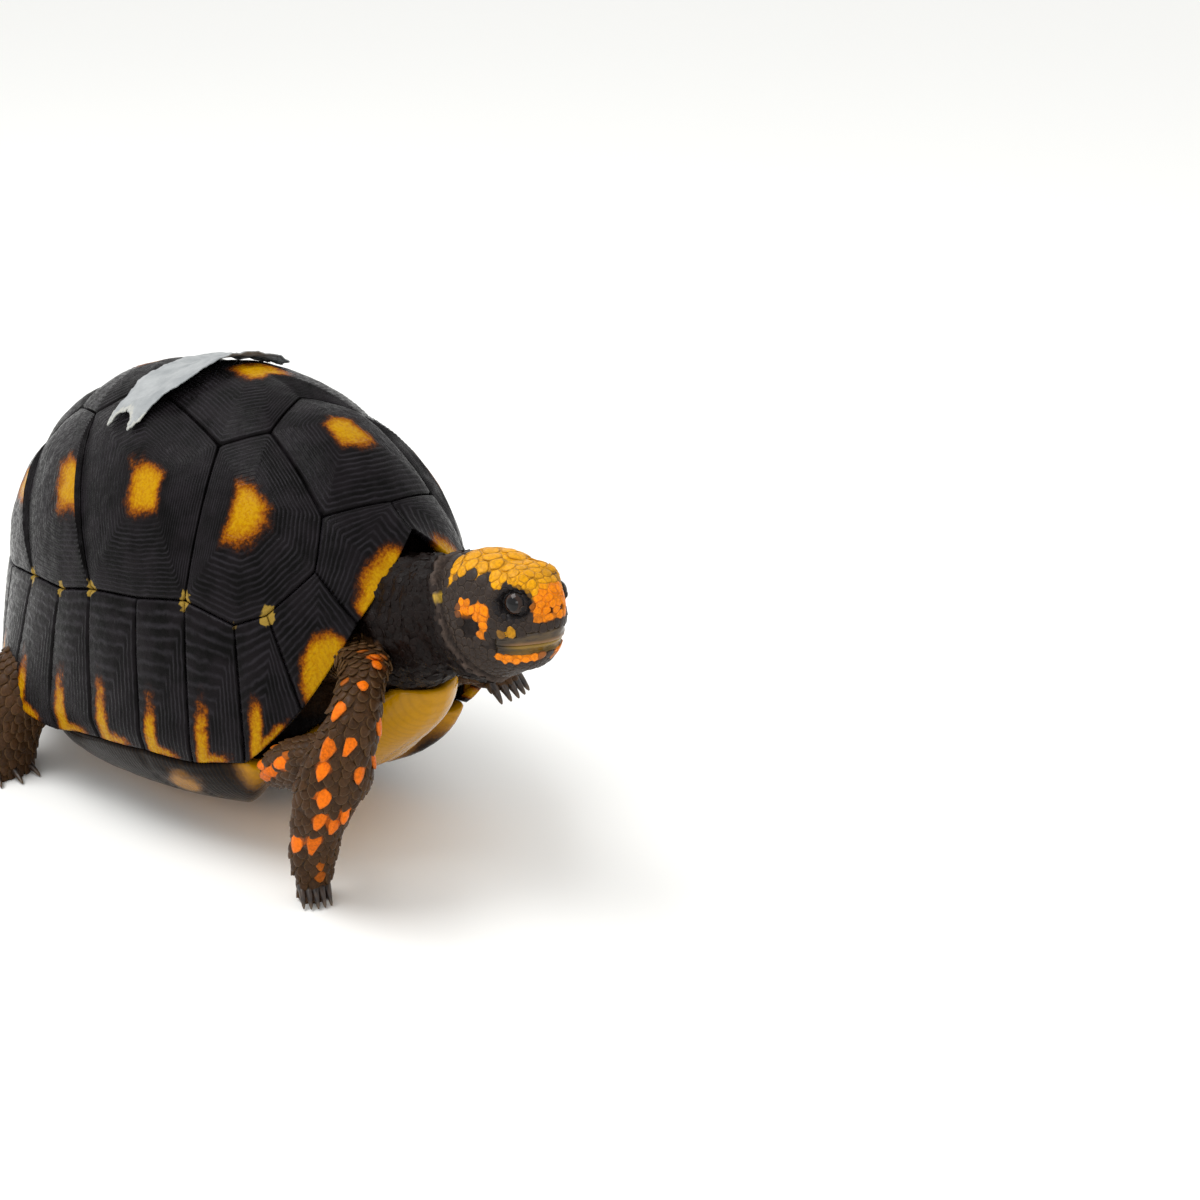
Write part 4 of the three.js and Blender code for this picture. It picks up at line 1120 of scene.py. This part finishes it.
# %% The skin as a piece
def places_of(mesh):
    flat = np.empty(len(mesh.vertices) * 3, np.float32)
    mesh.vertices.foreach_get("co", flat)
    return flat.reshape(-1, 3) / MM + shift


def skin_material():
    """Wet, leathery, finely wrinkled skin: dark and half-glossy with small creases."""
    material, tree, shader = new_material("wrinkled_reptile_skin")
    tint = colour_of(tree, "tint")
    mottled = ranged(tree, grain(tree, 4.5, 4, 0.6), 0.3, 0.7, 0.7, 1.3)
    flecked = ranged(tree, grain(tree, 0.9, 3), 0.35, 0.65, 0.8, 1.2)
    shade = sums(tree, "MULTIPLY", mottled, flecked)
    grey = add(tree, "ShaderNodeCombineColor", {0: shade, 1: shade, 2: shade}).outputs[0]
    coloured = blend_colours(tree, 1.0, tint, grey, "MULTIPLY")
    creases = grain(tree, 1.6, 5, 0.6, (0.45, 1, 1))
    folded = raised(tree, creases, 0.5)
    pored = raised(tree, grain(tree, 0.45, 2), 0.1, folded)
    rough = ranged(tree, grain(tree, 1.8, 3), 0.35, 0.65, 0.36, 0.56)
    for key, value in {"Base Color": coloured, "Roughness": rough, "Normal": pored}.items():
        tree.links.new(value, shader.inputs[key])
    shader.inputs["Specular IOR Level"].default_value = 0.12
    return material


SKIN = skin_material()
skin_places = places_of(skin_mesh)
skin_which, skin_t, skin_lie = nearest_form(skin_places)
skin_region = region_of(skin_places, skin_which)
skin_tint = np.column_stack([skin_colours(skin_places, skin_region), np.ones(len(skin_places))])
FLESH = ["trunk", "neck", "head", "foreleg_right", "foreleg_left", "hindleg_right", "hindleg_left", "tail"]
skin_mesh.materials.clear()
hand_over("skin", skin_mesh, SKIN, FLESH, dict(tint=skin_tint))

# %% [markdown]
# ## Scales
#
# Tortoise skin is set with horny scales: long overlapping ones that point down the limbs, flat shields
# that meet like paving on the head, and fine granules on the neck. They could be painted on or given
# as bump, but the leg scales break the outline, so every scale is a small closed lens of horn.
#
# Their roots are scattered so that neighbours keep their distance, and each scale's outline is drawn
# half-way to its neighbours, which packs them without gaps. One spun lens is then copied to every
# root, stretched to that outline, laid along the body and tipped up a little at its free end.

# %% Roots scattered over the skin
def triangles_of(mesh):
    mesh.calc_loop_triangles()
    corners = np.empty(len(mesh.loop_triangles) * 3, int)
    mesh.loop_triangles.foreach_get("vertices", corners)
    return corners.reshape(-1, 3)


KEPT_OUTSIDE = 0.9


def scattered(mesh, places, spacing, count, seed):
    """Random roots, more of them where the spacing is small; spacing is given for every vertex, 0 where none grow."""
    draw = np.random.default_rng(seed)
    tri = triangles_of(mesh)
    foremost = places[tri][:, :, 0].argmax(axis=1)      # the draw must not hang on the mesh's own order
    tri = np.take_along_axis(tri, (foremost[:, None] + np.arange(3)) % 3, axis=1)
    tri = tri[np.lexsort(np.round(places[tri].mean(axis=1), 2).T)]
    a, b, c = (places[tri[:, k]] for k in range(3))
    wide = spacing[tri].min(axis=1)
    facing = np.cross(b - a, c - a)
    area = np.linalg.norm(facing, axis=1) / 2
    weight = np.where(wide > 0, area / np.maximum(wide, 0.1) ** 2, 0)
    chosen = draw.choice(len(tri), count, p=weight / weight.sum())
    u, v = draw.random(count), draw.random(count)
    flip = u + v > 1
    u, v = np.where(flip, 1 - u, u)[:, None], np.where(flip, 1 - v, v)[:, None]
    roots = a[chosen] + (b - a)[chosen] * u + (c - a)[chosen] * v
    return roots, wide[chosen], tri[chosen, 0]


def kept_apart(roots, wide, first):
    """Keeps roots in order, dropping each one that is too near to a kept one; first ones go ahead."""
    order = np.concatenate([first, np.setdiff1d(np.arange(len(roots)), first)]) if len(first) else np.arange(len(roots))
    tree = kdtree.KDTree(len(roots))
    for k, place in enumerate(roots):
        tree.insert(place, k)
    tree.balance()
    alive = np.ones(len(roots), bool)
    kept = []
    for k in order:
        if not alive[k]:
            continue
        kept.append(k)
        for _place, other, distance in tree.find_range(roots[k], wide[k]):
            if distance < 0.5 * (wide[k] + wide[other]):
                alive[other] = False
    return np.array(kept)


def spacing_on(p, region, t):
    """Distance between scale roots in mm at each place."""
    size = np.zeros(len(p))
    size[region == "leg"] = 2.0
    size[region == "tail"] = 1.8
    size[region == "neck"] = 1.5
    head = region == "head"
    x, z = p[head, 0], p[head, 2]
    side = np.abs(p[head, 1] - HEAD_MIDDLE)
    eye = np.hypot(x - EYE["x"], z - EYE["z"])
    shields = 1.5 + 1.5 * smooth(z, 89, 92) * (1 - smooth(x, 130, 133))
    shields = shields + 0.7 * smooth(x, 112, 118) * (1 - smooth(eye, 6, 8))
    shields = np.where((eye < 5.2) & (side > 3), 0.95, shields)
    shields = np.where((x > 123) & (z > 88), np.minimum(shields, 2.0), shields)
    shields = np.where(x > 131, 1.5, shields)
    shields = np.where(z < 72, 1.25, shields)
    bare = (eye < 3.1) & (side > 3)
    chin, upper = line_height(CHIN_LINE, x), line_height(UPPER_LINE, x)
    bare |= (x > MOUTH["corner_x"] - 0.5) & (z > chin - 0.5) & (z < upper + 0.5)
    drum = np.hypot(x - EARDRUM[0], z - EARDRUM[1])
    bare |= (drum < 3.0) & (side > 6)
    bare |= np.sqrt((x - NOSTRIL[0]) ** 2 + (side - NOSTRIL[1]) ** 2 + (z - NOSTRIL[2]) ** 2) < 1.1
    size[head] = np.where(bare, 0, shields)
    return size


skin_space = spacing_on(skin_places, skin_region, skin_t)
hidden = outside_shell(skin_places) < KEPT_OUTSIDE
fold_lip = np.abs(behind_hood(skin_places) + 0.6) < 1.0
on_head_form = skin_which == NAMES.index("neck_head")
skin_space[hidden | (fold_lip & on_head_form)] = 0
trodden = (skin_places[:, 2] < 0.6) & ~on_head_form
skin_space[trodden] = 0
normals = np.empty(len(skin_mesh.vertices) * 3, np.float32)
skin_mesh.vertices.foreach_get("normal", normals)
skin_normals = normals.reshape(-1, 3)

roots, wide, vertex = scattered(skin_mesh, skin_places, skin_space, 60000, 11)
spots = []
for spot in LEG_SPOTS:
    away = np.linalg.norm(roots - np.array(spot), axis=1)
    k = int(away.argmin())
    if away[k] < 6:
        spots.append(k)
        wide[k] = 3.3
spots = np.array(sorted(set(spots)))
kept = kept_apart(roots, wide, spots)
roots, wide, vertex = roots[kept], wide[kept], vertex[kept]
orange_spot = np.arange(len(kept)) < len(spots)
lie, region = skin_lie[vertex], skin_region[vertex]
upright = unit(skin_normals[vertex])
print("scales:", len(roots), {name: int((region == name).sum()) for name in SKIN_TONES})


# %% Outlines half-way to the neighbours
def frames_of(upright, lie, region):
    heading = np.where((region == "head")[:, None], -lie, lie)
    along = unit(heading - upright * np.einsum("ij,ij->i", heading, upright)[:, None])
    return along, np.cross(upright, along)


def outlines(roots, wide, upright, along, across, corners):
    """Reach of each scale in each of so many directions round its root."""
    tree = kdtree.KDTree(len(roots))
    for k, place in enumerate(roots):
        tree.insert(place, k)
    tree.balance()
    near = 12
    others = np.array([[hit[1] for hit in tree.find_n(place, near + 1)][1:] for place in roots])
    gap = roots[others] - roots[:, None]
    east = np.einsum("nkj,nj->nk", gap, along)
    north = np.einsum("nkj,nj->nk", gap, across)
    distance = np.maximum(np.hypot(east, north), 0.2)
    share = (wide[:, None] / (wide[:, None] + wide[others])) * distance
    angle = np.arange(corners) * 2 * math.pi / corners
    facing = (east[..., None] * np.cos(angle) + north[..., None] * np.sin(angle)) / distance[..., None]
    inverse = np.maximum(facing, 0) / share[..., None]
    limit = 1 / (0.95 * wide[:, None])
    return (np.sum(inverse ** 9, axis=1) + limit ** 9) ** (-1 / 9)


# %% One lens and its copies
KINDS = {   # region: corners, thickness, tip-up, overlap, gap, dome power
    "leg": (12, 0.5, 0.42, 0.34, 0.98, 2.2),
    "tail": (10, 0.4, 0.34, 0.3, 0.98, 2.2),
    "neck": (6, 0.12, 0.0, 0.0, 0.97, 1.6),
    "head": (12, 0.24, 0.03, 0.02, 0.96, 3.0),
}
LENS_ROWS = np.array([0, 0.45, 0.8, 1.0, 0.96, 0])      # top pole, slopes, edge, lower edge, under pole


def lens_piece(name, region_name, chosen, material):
    corners, thick, tip, overlap, gap, dome = KINDS[region_name]
    bm, row, turn = spun(LENS_ROWS, corners)
    template = bpy.data.meshes.new("lens")
    bm.to_mesh(template)
    bm.free()
    faces = triangles_of(template)
    n, m = len(chosen), len(row)
    along, across = frames_of(upright[chosen], lie[chosen], region[chosen])
    reach = outlines_all[region_name][:, turn][np.searchsorted(members[region_name], chosen)]
    angle = turn * 2 * math.pi / corners
    forward, sideways = np.cos(angle), np.sin(angle)
    size = LENS_ROWS[row]
    longer = 1 + overlap * np.maximum(forward, 0) ** 2
    slim = np.where(orange_spot[chosen], 0.8, 0.97)[:, None] if region_name == "leg" else 1.0
    east = reach * gap * size * forward * longer / slim
    north = reach * gap * size * sideways * slim
    hang = east / (reach.mean(axis=1)[:, None])
    full = thick * np.clip(wide[chosen] / 2.2, 0.6, 1.3)[:, None]
    top = full * (1 - size ** dome * 0.75)
    height = np.where(row < 4, top, -0.25) + tip * full / thick * hang
    height = np.where(row == 5, -0.5, height)
    places = roots[chosen][:, None] + along[:, None] * east[..., None] + across[:, None] * north[..., None]
    places = places + upright[chosen][:, None] * height[..., None]
    everything = places.reshape(-1, 3)
    everything[:, 2] = np.maximum(everything[:, 2], 0.02)
    mesh = bpy.data.meshes.new(name + "_surface")
    mesh.vertices.add(n * m)
    mesh.vertices.foreach_set("co", to_frame(everything).astype(np.float32).ravel())
    corners_of = (faces[None] + np.arange(n)[:, None, None] * m).reshape(-1, 3)
    mesh.loops.add(corners_of.size)
    mesh.loops.foreach_set("vertex_index", corners_of.ravel().astype(np.int32))
    mesh.polygons.add(len(corners_of))
    mesh.polygons.foreach_set("loop_start", np.arange(0, corners_of.size, 3, dtype=np.int32))
    mesh.update(calc_edges=True)
    tint = scale_tint[chosen]
    values = dict(tint=np.repeat(tint, m, axis=0), rim=np.tile(size, n), odd=np.repeat(scale_odd[chosen], m))
    unwrap(mesh, chosen, size, angle, corners_of, m)
    return hand_over(name, mesh, material, (), values)


PATCH = 0.0015      # half the width of one scale's place on the unwrap
CHARTS = {name: ((k % 3) / 3, (k // 3) / 3) for k, name in enumerate(NAMES)}


def unwrap(mesh, chosen, size, angle, corners_of, m):
    """Each scale is a patch at its root's place on a chart of its form: round the limb and along it."""
    which, t, _lie = nearest_form(roots[chosen])
    u, v = np.empty(len(chosen)), np.empty(len(chosen))
    for number, name in enumerate(NAMES):
        of_it = which == number
        wide_axis, deep_axis = FORMS[name][1], FORMS[name][2]
        middle = along_stations(FORMS[name][0], t[of_it])[:, :3]
        off = roots[chosen][of_it] - middle
        round_it = np.arctan2(off @ deep_axis + off[:, 2] * 0.3, off @ wide_axis) / (2 * math.pi) + 0.5
        u[of_it] = CHARTS[name][0] + 0.01 + 0.31 * round_it
        v[of_it] = CHARTS[name][1] + 0.01 + 0.31 * t[of_it]
    patch_u = u[:, None] + PATCH * size * np.cos(angle)
    patch_v = v[:, None] + PATCH * size * np.sin(angle)
    flat = np.stack([patch_u.ravel(), patch_v.ravel()], -1)
    layer = mesh.uv_layers.new(name="OFBake")
    layer.data.foreach_set("uv", flat[corners_of.ravel()].astype(np.float32).ravel())


def scale_material(name, edge_colour, gloss):
    """Small horn scales: worn paler along the free edge, with a soft wet shine."""
    material, tree, shader = new_material(name)
    tint, rim, odd = colour_of(tree, "tint"), value_of(tree, "rim"), value_of(tree, "odd")
    shade = sums(tree, "MULTIPLY_ADD", odd, 0.5, ranged(tree, grain(tree, 0.7, 4, 0.6), 0.3, 0.7, 0.55, 1.0))
    grey = add(tree, "ShaderNodeCombineColor", {0: shade, 1: shade, 2: shade}).outputs[0]
    coloured = blend_colours(tree, 1.0, tint, grey, "MULTIPLY")
    worn = sums(tree, "MULTIPLY", ranged(tree, rim, 0.75, 1.0), 0.28)
    coloured = blend_colours(tree, worn, coloured, linear(edge_colour))
    bump = raised(tree, grain(tree, 0.5, 3), 0.08)
    rough = ranged(tree, grain(tree, 1.2, 3), 0.35, 0.65, gloss, gloss + 0.18)
    for key, value in {"Base Color": coloured, "Roughness": rough, "Normal": bump}.items():
        tree.links.new(value, shader.inputs[key])
    shader.inputs["Specular IOR Level"].default_value = 0.12
    return material


scale_tint = np.column_stack([skin_colours(roots, region), np.ones(len(roots))])
leg_like = (region == "leg") | (region == "tail")
scale_tint[leg_like, :3] = plain_tone("leg", leg_like.sum())
scale_tint[orange_spot, :3] = linear(LEG_ORANGE)[:3]
fleck = np.random.default_rng(5).random(len(roots))
which, _t, _lie = nearest_form(roots)
lifted_leg = (which == NAMES.index("foreleg_left")) & (roots[:, 0] < 66)
scale_tint[lifted_leg & (fleck < 0.09), :3] = linear(LEG_ORANGE)[:3]
stray = leg_like & (fleck > 0.985) & (wide < 3)
scale_tint[stray, :3] = linear("#8a4406")[:3]
scale_odd = np.random.default_rng(7).random(len(roots))
scale_odd[region == "head"] = 0.45 + 0.4 * scale_odd[region == "head"]
members, outlines_all = {}, {}
all_along, all_across = frames_of(upright, lie, region)
for region_name, (corners, *_rest) in KINDS.items():
    members[region_name] = np.nonzero(region == region_name)[0]
    whole = outlines(roots, wide, upright, all_along, all_across, corners)
    outlines_all[region_name] = whole[members[region_name]]
LEG_SCALE = scale_material("limb_scale_horn", "#6e5330", 0.34)
HEAD_SCALE = scale_material("head_shield_horn", "#5c4c3c", 0.3)
NECK_SCALE = scale_material("neck_granule_skin", "#241a16", 0.4)
for number, name in enumerate(NAMES):
    if name == "neck_head":
        continue
    part = np.nonzero((which == number) & leg_like & (region != "tail"))[0]
    if len(part):
        lens_piece(name + "_scales", "leg", part, LEG_SCALE)
lens_piece("tail_scales", "tail", members["tail"], LEG_SCALE)
lens_piece("head_scales", "head", members["head"], HEAD_SCALE)
lens_piece("neck_scales", "neck", members["neck"], NECK_SCALE)
print("coat:", sum(count for name, count in pieces.items() if name.endswith("scales")), "triangles")

# %% [markdown]
# ## Eyes, beak and claws
#
# The eyes are balls set deep between the lids. The jaws carry no teeth but a sheath of horn, which
# could be painted on the skin; here each sheath is a thin curved plate standing in the slot left for
# it, so that the cutting edges and the line of the mouth are real. Claws are short curved cones.

# %% Two eyes
def eye_material():
    """Wet, almost black eyeball with a dark brown iris: it gives the eye one small sharp highlight."""
    material, tree, shader = new_material("wet_eyeball")
    off = value_of(tree, "off_axis")
    iris = blend_colours(tree, ranged(tree, off, 0.5, 0.58), linear("#050406"), linear("#2a1a12"))
    ball = blend_colours(tree, ranged(tree, off, 0.8, 0.92), iris, linear("#0c0a0b"))
    tree.links.new(ball, shader.inputs["Base Color"])
    shader.inputs["Roughness"].default_value = 0.06
    shader.inputs["Specular IOR Level"].default_value = 0.3
    return material


EYEBALL = eye_material()
for side_name, side in (("right", -1), ("left", 1)):
    bm = bmesh.new()
    bmesh.ops.create_uvsphere(bm, u_segments=48, v_segments=32, radius=EYE["radius"] - 0.12)
    ball = flat_places(bm)
    axis = EYE_AXIS * (1, side, 1)
    off = np.degrees(np.arccos(np.clip(unit(ball) @ axis, -1, 1))) / 60
    middle = np.array([EYE["x"], HEAD_MIDDLE + side * EYE["from_middle"], EYE["z"]])
    finish_piece("eye_" + side_name, bm, ball + middle, EYEBALL, ("eye_" + side_name,),
                 dict(off_axis=off))

# %% Horn sheaths of the jaws
BEAK_AXIS = (118.0, HEAD_MIDDLE)
head_form = plain_object("head_form", *tube_mesh("neck_head", 0.0))
form_tree = BVHTree.FromObject(head_form, bpy.context.evaluated_depsgraph_get())
bpy.data.objects.remove(head_form)


def jaw_places(turn, share, low_line, high_line):
    """Places on the head's form: turn round the head's axis, share from the low to the high line."""
    places, outs = [], []
    for angle, part in zip(turn, share):
        heading = Vector((math.cos(angle), math.sin(angle), 0.0))
        z = 0.5 * (low_line[0] + high_line[1])
        for _ in range(4):
            start = Vector(to_frame([BEAK_AXIS[0], BEAK_AXIS[1], z]))
            spot, normal, _index, _distance = form_tree.ray_cast(start, heading)
            x = spot.x / MM + shift[0]
            z = line_height(low_line, x) * (1 - part) + line_height(high_line, x) * part
        places.append(np.array(spot) / MM + shift)
        outs.append(np.array(normal))
    return np.array(places), np.array(outs)


def sheath(name, low_line, high_line, stand_out, lip_at, material):
    bm = bmesh.new()
    bmesh.ops.create_grid(bm, x_segments=72, y_segments=12, size=1)
    flat = flat_places(bm)
    turn = np.radians(62) * flat[:, 0]
    share = (flat[:, 1] + 1) / 2
    places, outs = jaw_places(turn, share, low_line, high_line)
    near_lip = share if lip_at == "high" else 1 - share
    ends = smooth(1 - np.abs(flat[:, 0]), 0.0, 0.12)
    bulge = stand_out * ends + 0.2 * hump(near_lip, 0.8, 0.2) - 0.45 * smooth(near_lip, 0.9, 1.0)
    bulge = bulge - 0.9 * (1 - smooth(near_lip, 0.0, 0.1)) - 0.9 * (1 - ends)
    growth = cloud(places * (1, 1, 2.5), 2.2, 2, 4.1) * 0.06
    face = places + outs * (bulge + growth)[:, None]
    values = dict(near_lip=near_lip, around=np.abs(flat[:, 0]))
    closed_slab(name, bm, face, places - outs * 1.3, material, values)


def beak_material(name, base, lip, back):
    """Worn horn: olive brown and half clear, streaked along the jaw, paler at the cutting edge."""
    material, tree, shader = new_material(name)
    streak = ranged(tree, grain(tree, 1.4, 4, 0.6, (0.5, 0.5, 1.6)), 0.3, 0.7)
    body = blend_colours(tree, streak, linear(base), linear(back))
    edged = blend_colours(tree, ranged(tree, value_of(tree, "near_lip"), 0.55, 0.85), body, linear(lip))
    hind = blend_colours(tree, ranged(tree, value_of(tree, "around"), 0.45, 0.85), edged, linear("#30281f"))
    tree.links.new(hind, shader.inputs["Base Color"])
    tree.links.new(raised(tree, grain(tree, 0.8, 3), 0.08), shader.inputs["Normal"])
    shader.inputs["Roughness"].default_value = 0.3
    shader.inputs["Specular IOR Level"].default_value = 0.25
    return material


UPPER_HORN = beak_material("upper_beak_horn", "#3e332a", "#7c5c3a", "#564630")
LOWER_HORN = beak_material("lower_beak_horn", "#6e5014", "#84682a", "#4a3a12")
sheath("upper_beak", LIP_LINE, UPPER_LINE, 0.42, "low", UPPER_HORN)
sheath("lower_beak", CHIN_LINE, LIP_LINE, 0.1, "high", LOWER_HORN)


# %% Claws
def claw_material():
    """Blunt dark horn of a claw: smooth, black brown, lighter where it is worn at the tip."""
    material, tree, shader = new_material("claw_horn")
    streak = ranged(tree, grain(tree, 1.2, 3, 0.5, (1, 1, 0.4)), 0.35, 0.65)
    dark = blend_colours(tree, streak, linear("#1d1512"), linear("#3a2b20"))
    worn = ranged(tree, value_of(tree, "tipward"), 0.7, 1.0, 0.0, 0.7)
    tree.links.new(blend_colours(tree, worn, dark, linear("#5c4a36")), shader.inputs["Base Color"])
    tree.links.new(raised(tree, streak, 0.06), shader.inputs["Normal"])
    shader.inputs["Roughness"].default_value = 0.35
    return material


PLAIN_CLAW = dict(length=8.4, radius=1.5, tip=0.3, root_height=2.9, tip_height=0.5, arch=0.5, reach=2.6,
                  splay=0.3, spread=6.4, count=4)
CLAWS = {
    "foreleg_right": (level(0.89, -0.45), dict(length=5.2, radius=1.3, root_height=4.6, reach=2.4,
                                               splay=0.1, spread=3, count=5)),
    "foreleg_left": (level(0.94, 0.2), dict(length=5, radius=1.7, root_height=2.2, tip_height=-2.6,
                                            splay=0.2, spread=5, count=5)),
    "hindleg_right": (level(0.97, -0.25), dict(reach=7)),
    "hindleg_left": (level(0.97, 0.25), dict(reach=7)),
}
CLAW_HORN = claw_material()


def claw_places(foot, aim, share, own):
    """Root, middle and tip of one claw; share runs from -1 to 1 across the foot."""
    across = np.cross(UPWARD, aim)
    point = unit(aim + across * share * own["splay"])
    root = foot + across * share * own["spread"] + aim * own["reach"] * (1 - 0.4 * share ** 2)
    root = root + UPWARD * own["root_height"]
    tip = root + point * own["length"]
    tip[2] = foot[2] + own["tip_height"]
    return point, root, 0.5 * (root + tip) + UPWARD * own["arch"], tip


for limb, (aim, own) in CLAWS.items():
    own = {**PLAIN_CLAW, **own}
    foot = np.array(FORMS[limb][0][-1][:3], float)
    for k in range(own["count"]):
        share = 2 * k / (own["count"] - 1) - 1
        point, root, middle, tip = claw_places(foot, aim, share, own)
        rows = np.concatenate([[0], np.linspace(1, 1, 3), np.linspace(1, 0.35, 16), [0.25, 0.14, 0]])
        bm, row, turn = spun(rows, 20)
        t = np.clip((row - 1) / (len(rows) - 3), 0, 1)[:, None]
        line = (1 - t) ** 2 * root + 2 * t * (1 - t) * (2 * middle - 0.5 * (root + tip)) + t ** 2 * tip
        heading = unit(2 * (1 - t) * (middle - root) + 2 * t * (tip - middle))
        sideways = np.array([-point[1], point[0], 0.0])
        up = np.cross(heading, sideways)
        angle = turn * 2 * math.pi / 20
        size = (rows[row] * (own["radius"] - 0.1))[:, None]
        ring = sideways * np.cos(angle)[:, None] + up * np.sin(angle)[:, None]
        places = line + ring * size
        places[:, 2] = np.maximum(places[:, 2], 0.05)
        finish_piece(f"{limb}_claw_{k + 1}", bm, places, CLAW_HORN, (), dict(tipward=t[:, 0]))
print("pieces:", len(pieces), "faces:", sum(pieces.values()))

# %% [markdown]
# ## Camera and light

# %% The floor, the light and the camera
def stage_material(name, hexcode):
    material, tree, shader = new_material(name)
    shader.inputs["Base Color"].default_value = linear(hexcode)
    shader.inputs["Roughness"].default_value = 0.6
    return material


bm = bmesh.new()
bmesh.ops.create_grid(bm, x_segments=1, y_segments=1, size=6)
mesh = bpy.data.meshes.new("floor")
bm.to_mesh(mesh)
bm.free()
floor = bpy.data.objects.new("floor", mesh)
bpy.context.scene.collection.objects.link(floor)
floor.data.materials.append(stage_material("matt_white_floor", "#fafaf8"))

world = bpy.data.worlds.new("white_studio")
bpy.context.scene.world = world
world.use_nodes = True
background = world.node_tree.nodes["Background"]
background.inputs["Color"].default_value = linear("#fbfbfa")
background.inputs["Strength"].default_value = 0.97


def area_light(name, place, aim, size, watts):
    light = bpy.data.lights.new(name, "AREA")
    light.shape = "RECTANGLE"
    light.size, light.size_y = size
    light.energy = watts
    lamp = bpy.data.objects.new(name, light)
    bpy.context.scene.collection.objects.link(lamp)
    lamp.location = place
    lamp.rotation_euler = (Vector(aim) - Vector(place)).to_track_quat("-Z", "Y").to_euler()


area_light("soft_box_above", (-0.25, -0.35, 0.9), (0, 0, 0.05), (0.7, 0.5), 6)
area_light("window_front", (0.9, -0.9, 0.6), (0.05, 0, 0.06), (0.5, 0.4), 2)

AZIMUTH, ELEVATION = -43.0617, 19.5582
CAMERA_AT = (583.08, -413.06, 302.63)
az, el = math.radians(AZIMUTH), math.radians(ELEVATION)
look = Vector((-math.cos(az) * math.cos(el), -math.sin(az) * math.cos(el), -math.sin(el)))
camera = bpy.data.objects.new("camera", bpy.data.cameras.new("camera"))
bpy.context.scene.collection.objects.link(camera)
camera.location = to_frame(CAMERA_AT)
camera.rotation_euler = look.to_track_quat("-Z", "Y").to_euler()
camera.data.sensor_width = 36
camera.data.lens = 82.675
camera.data.clip_start = 0.02
bpy.context.scene.camera = camera
bpy.context.scene.view_settings.view_transform = "Standard"
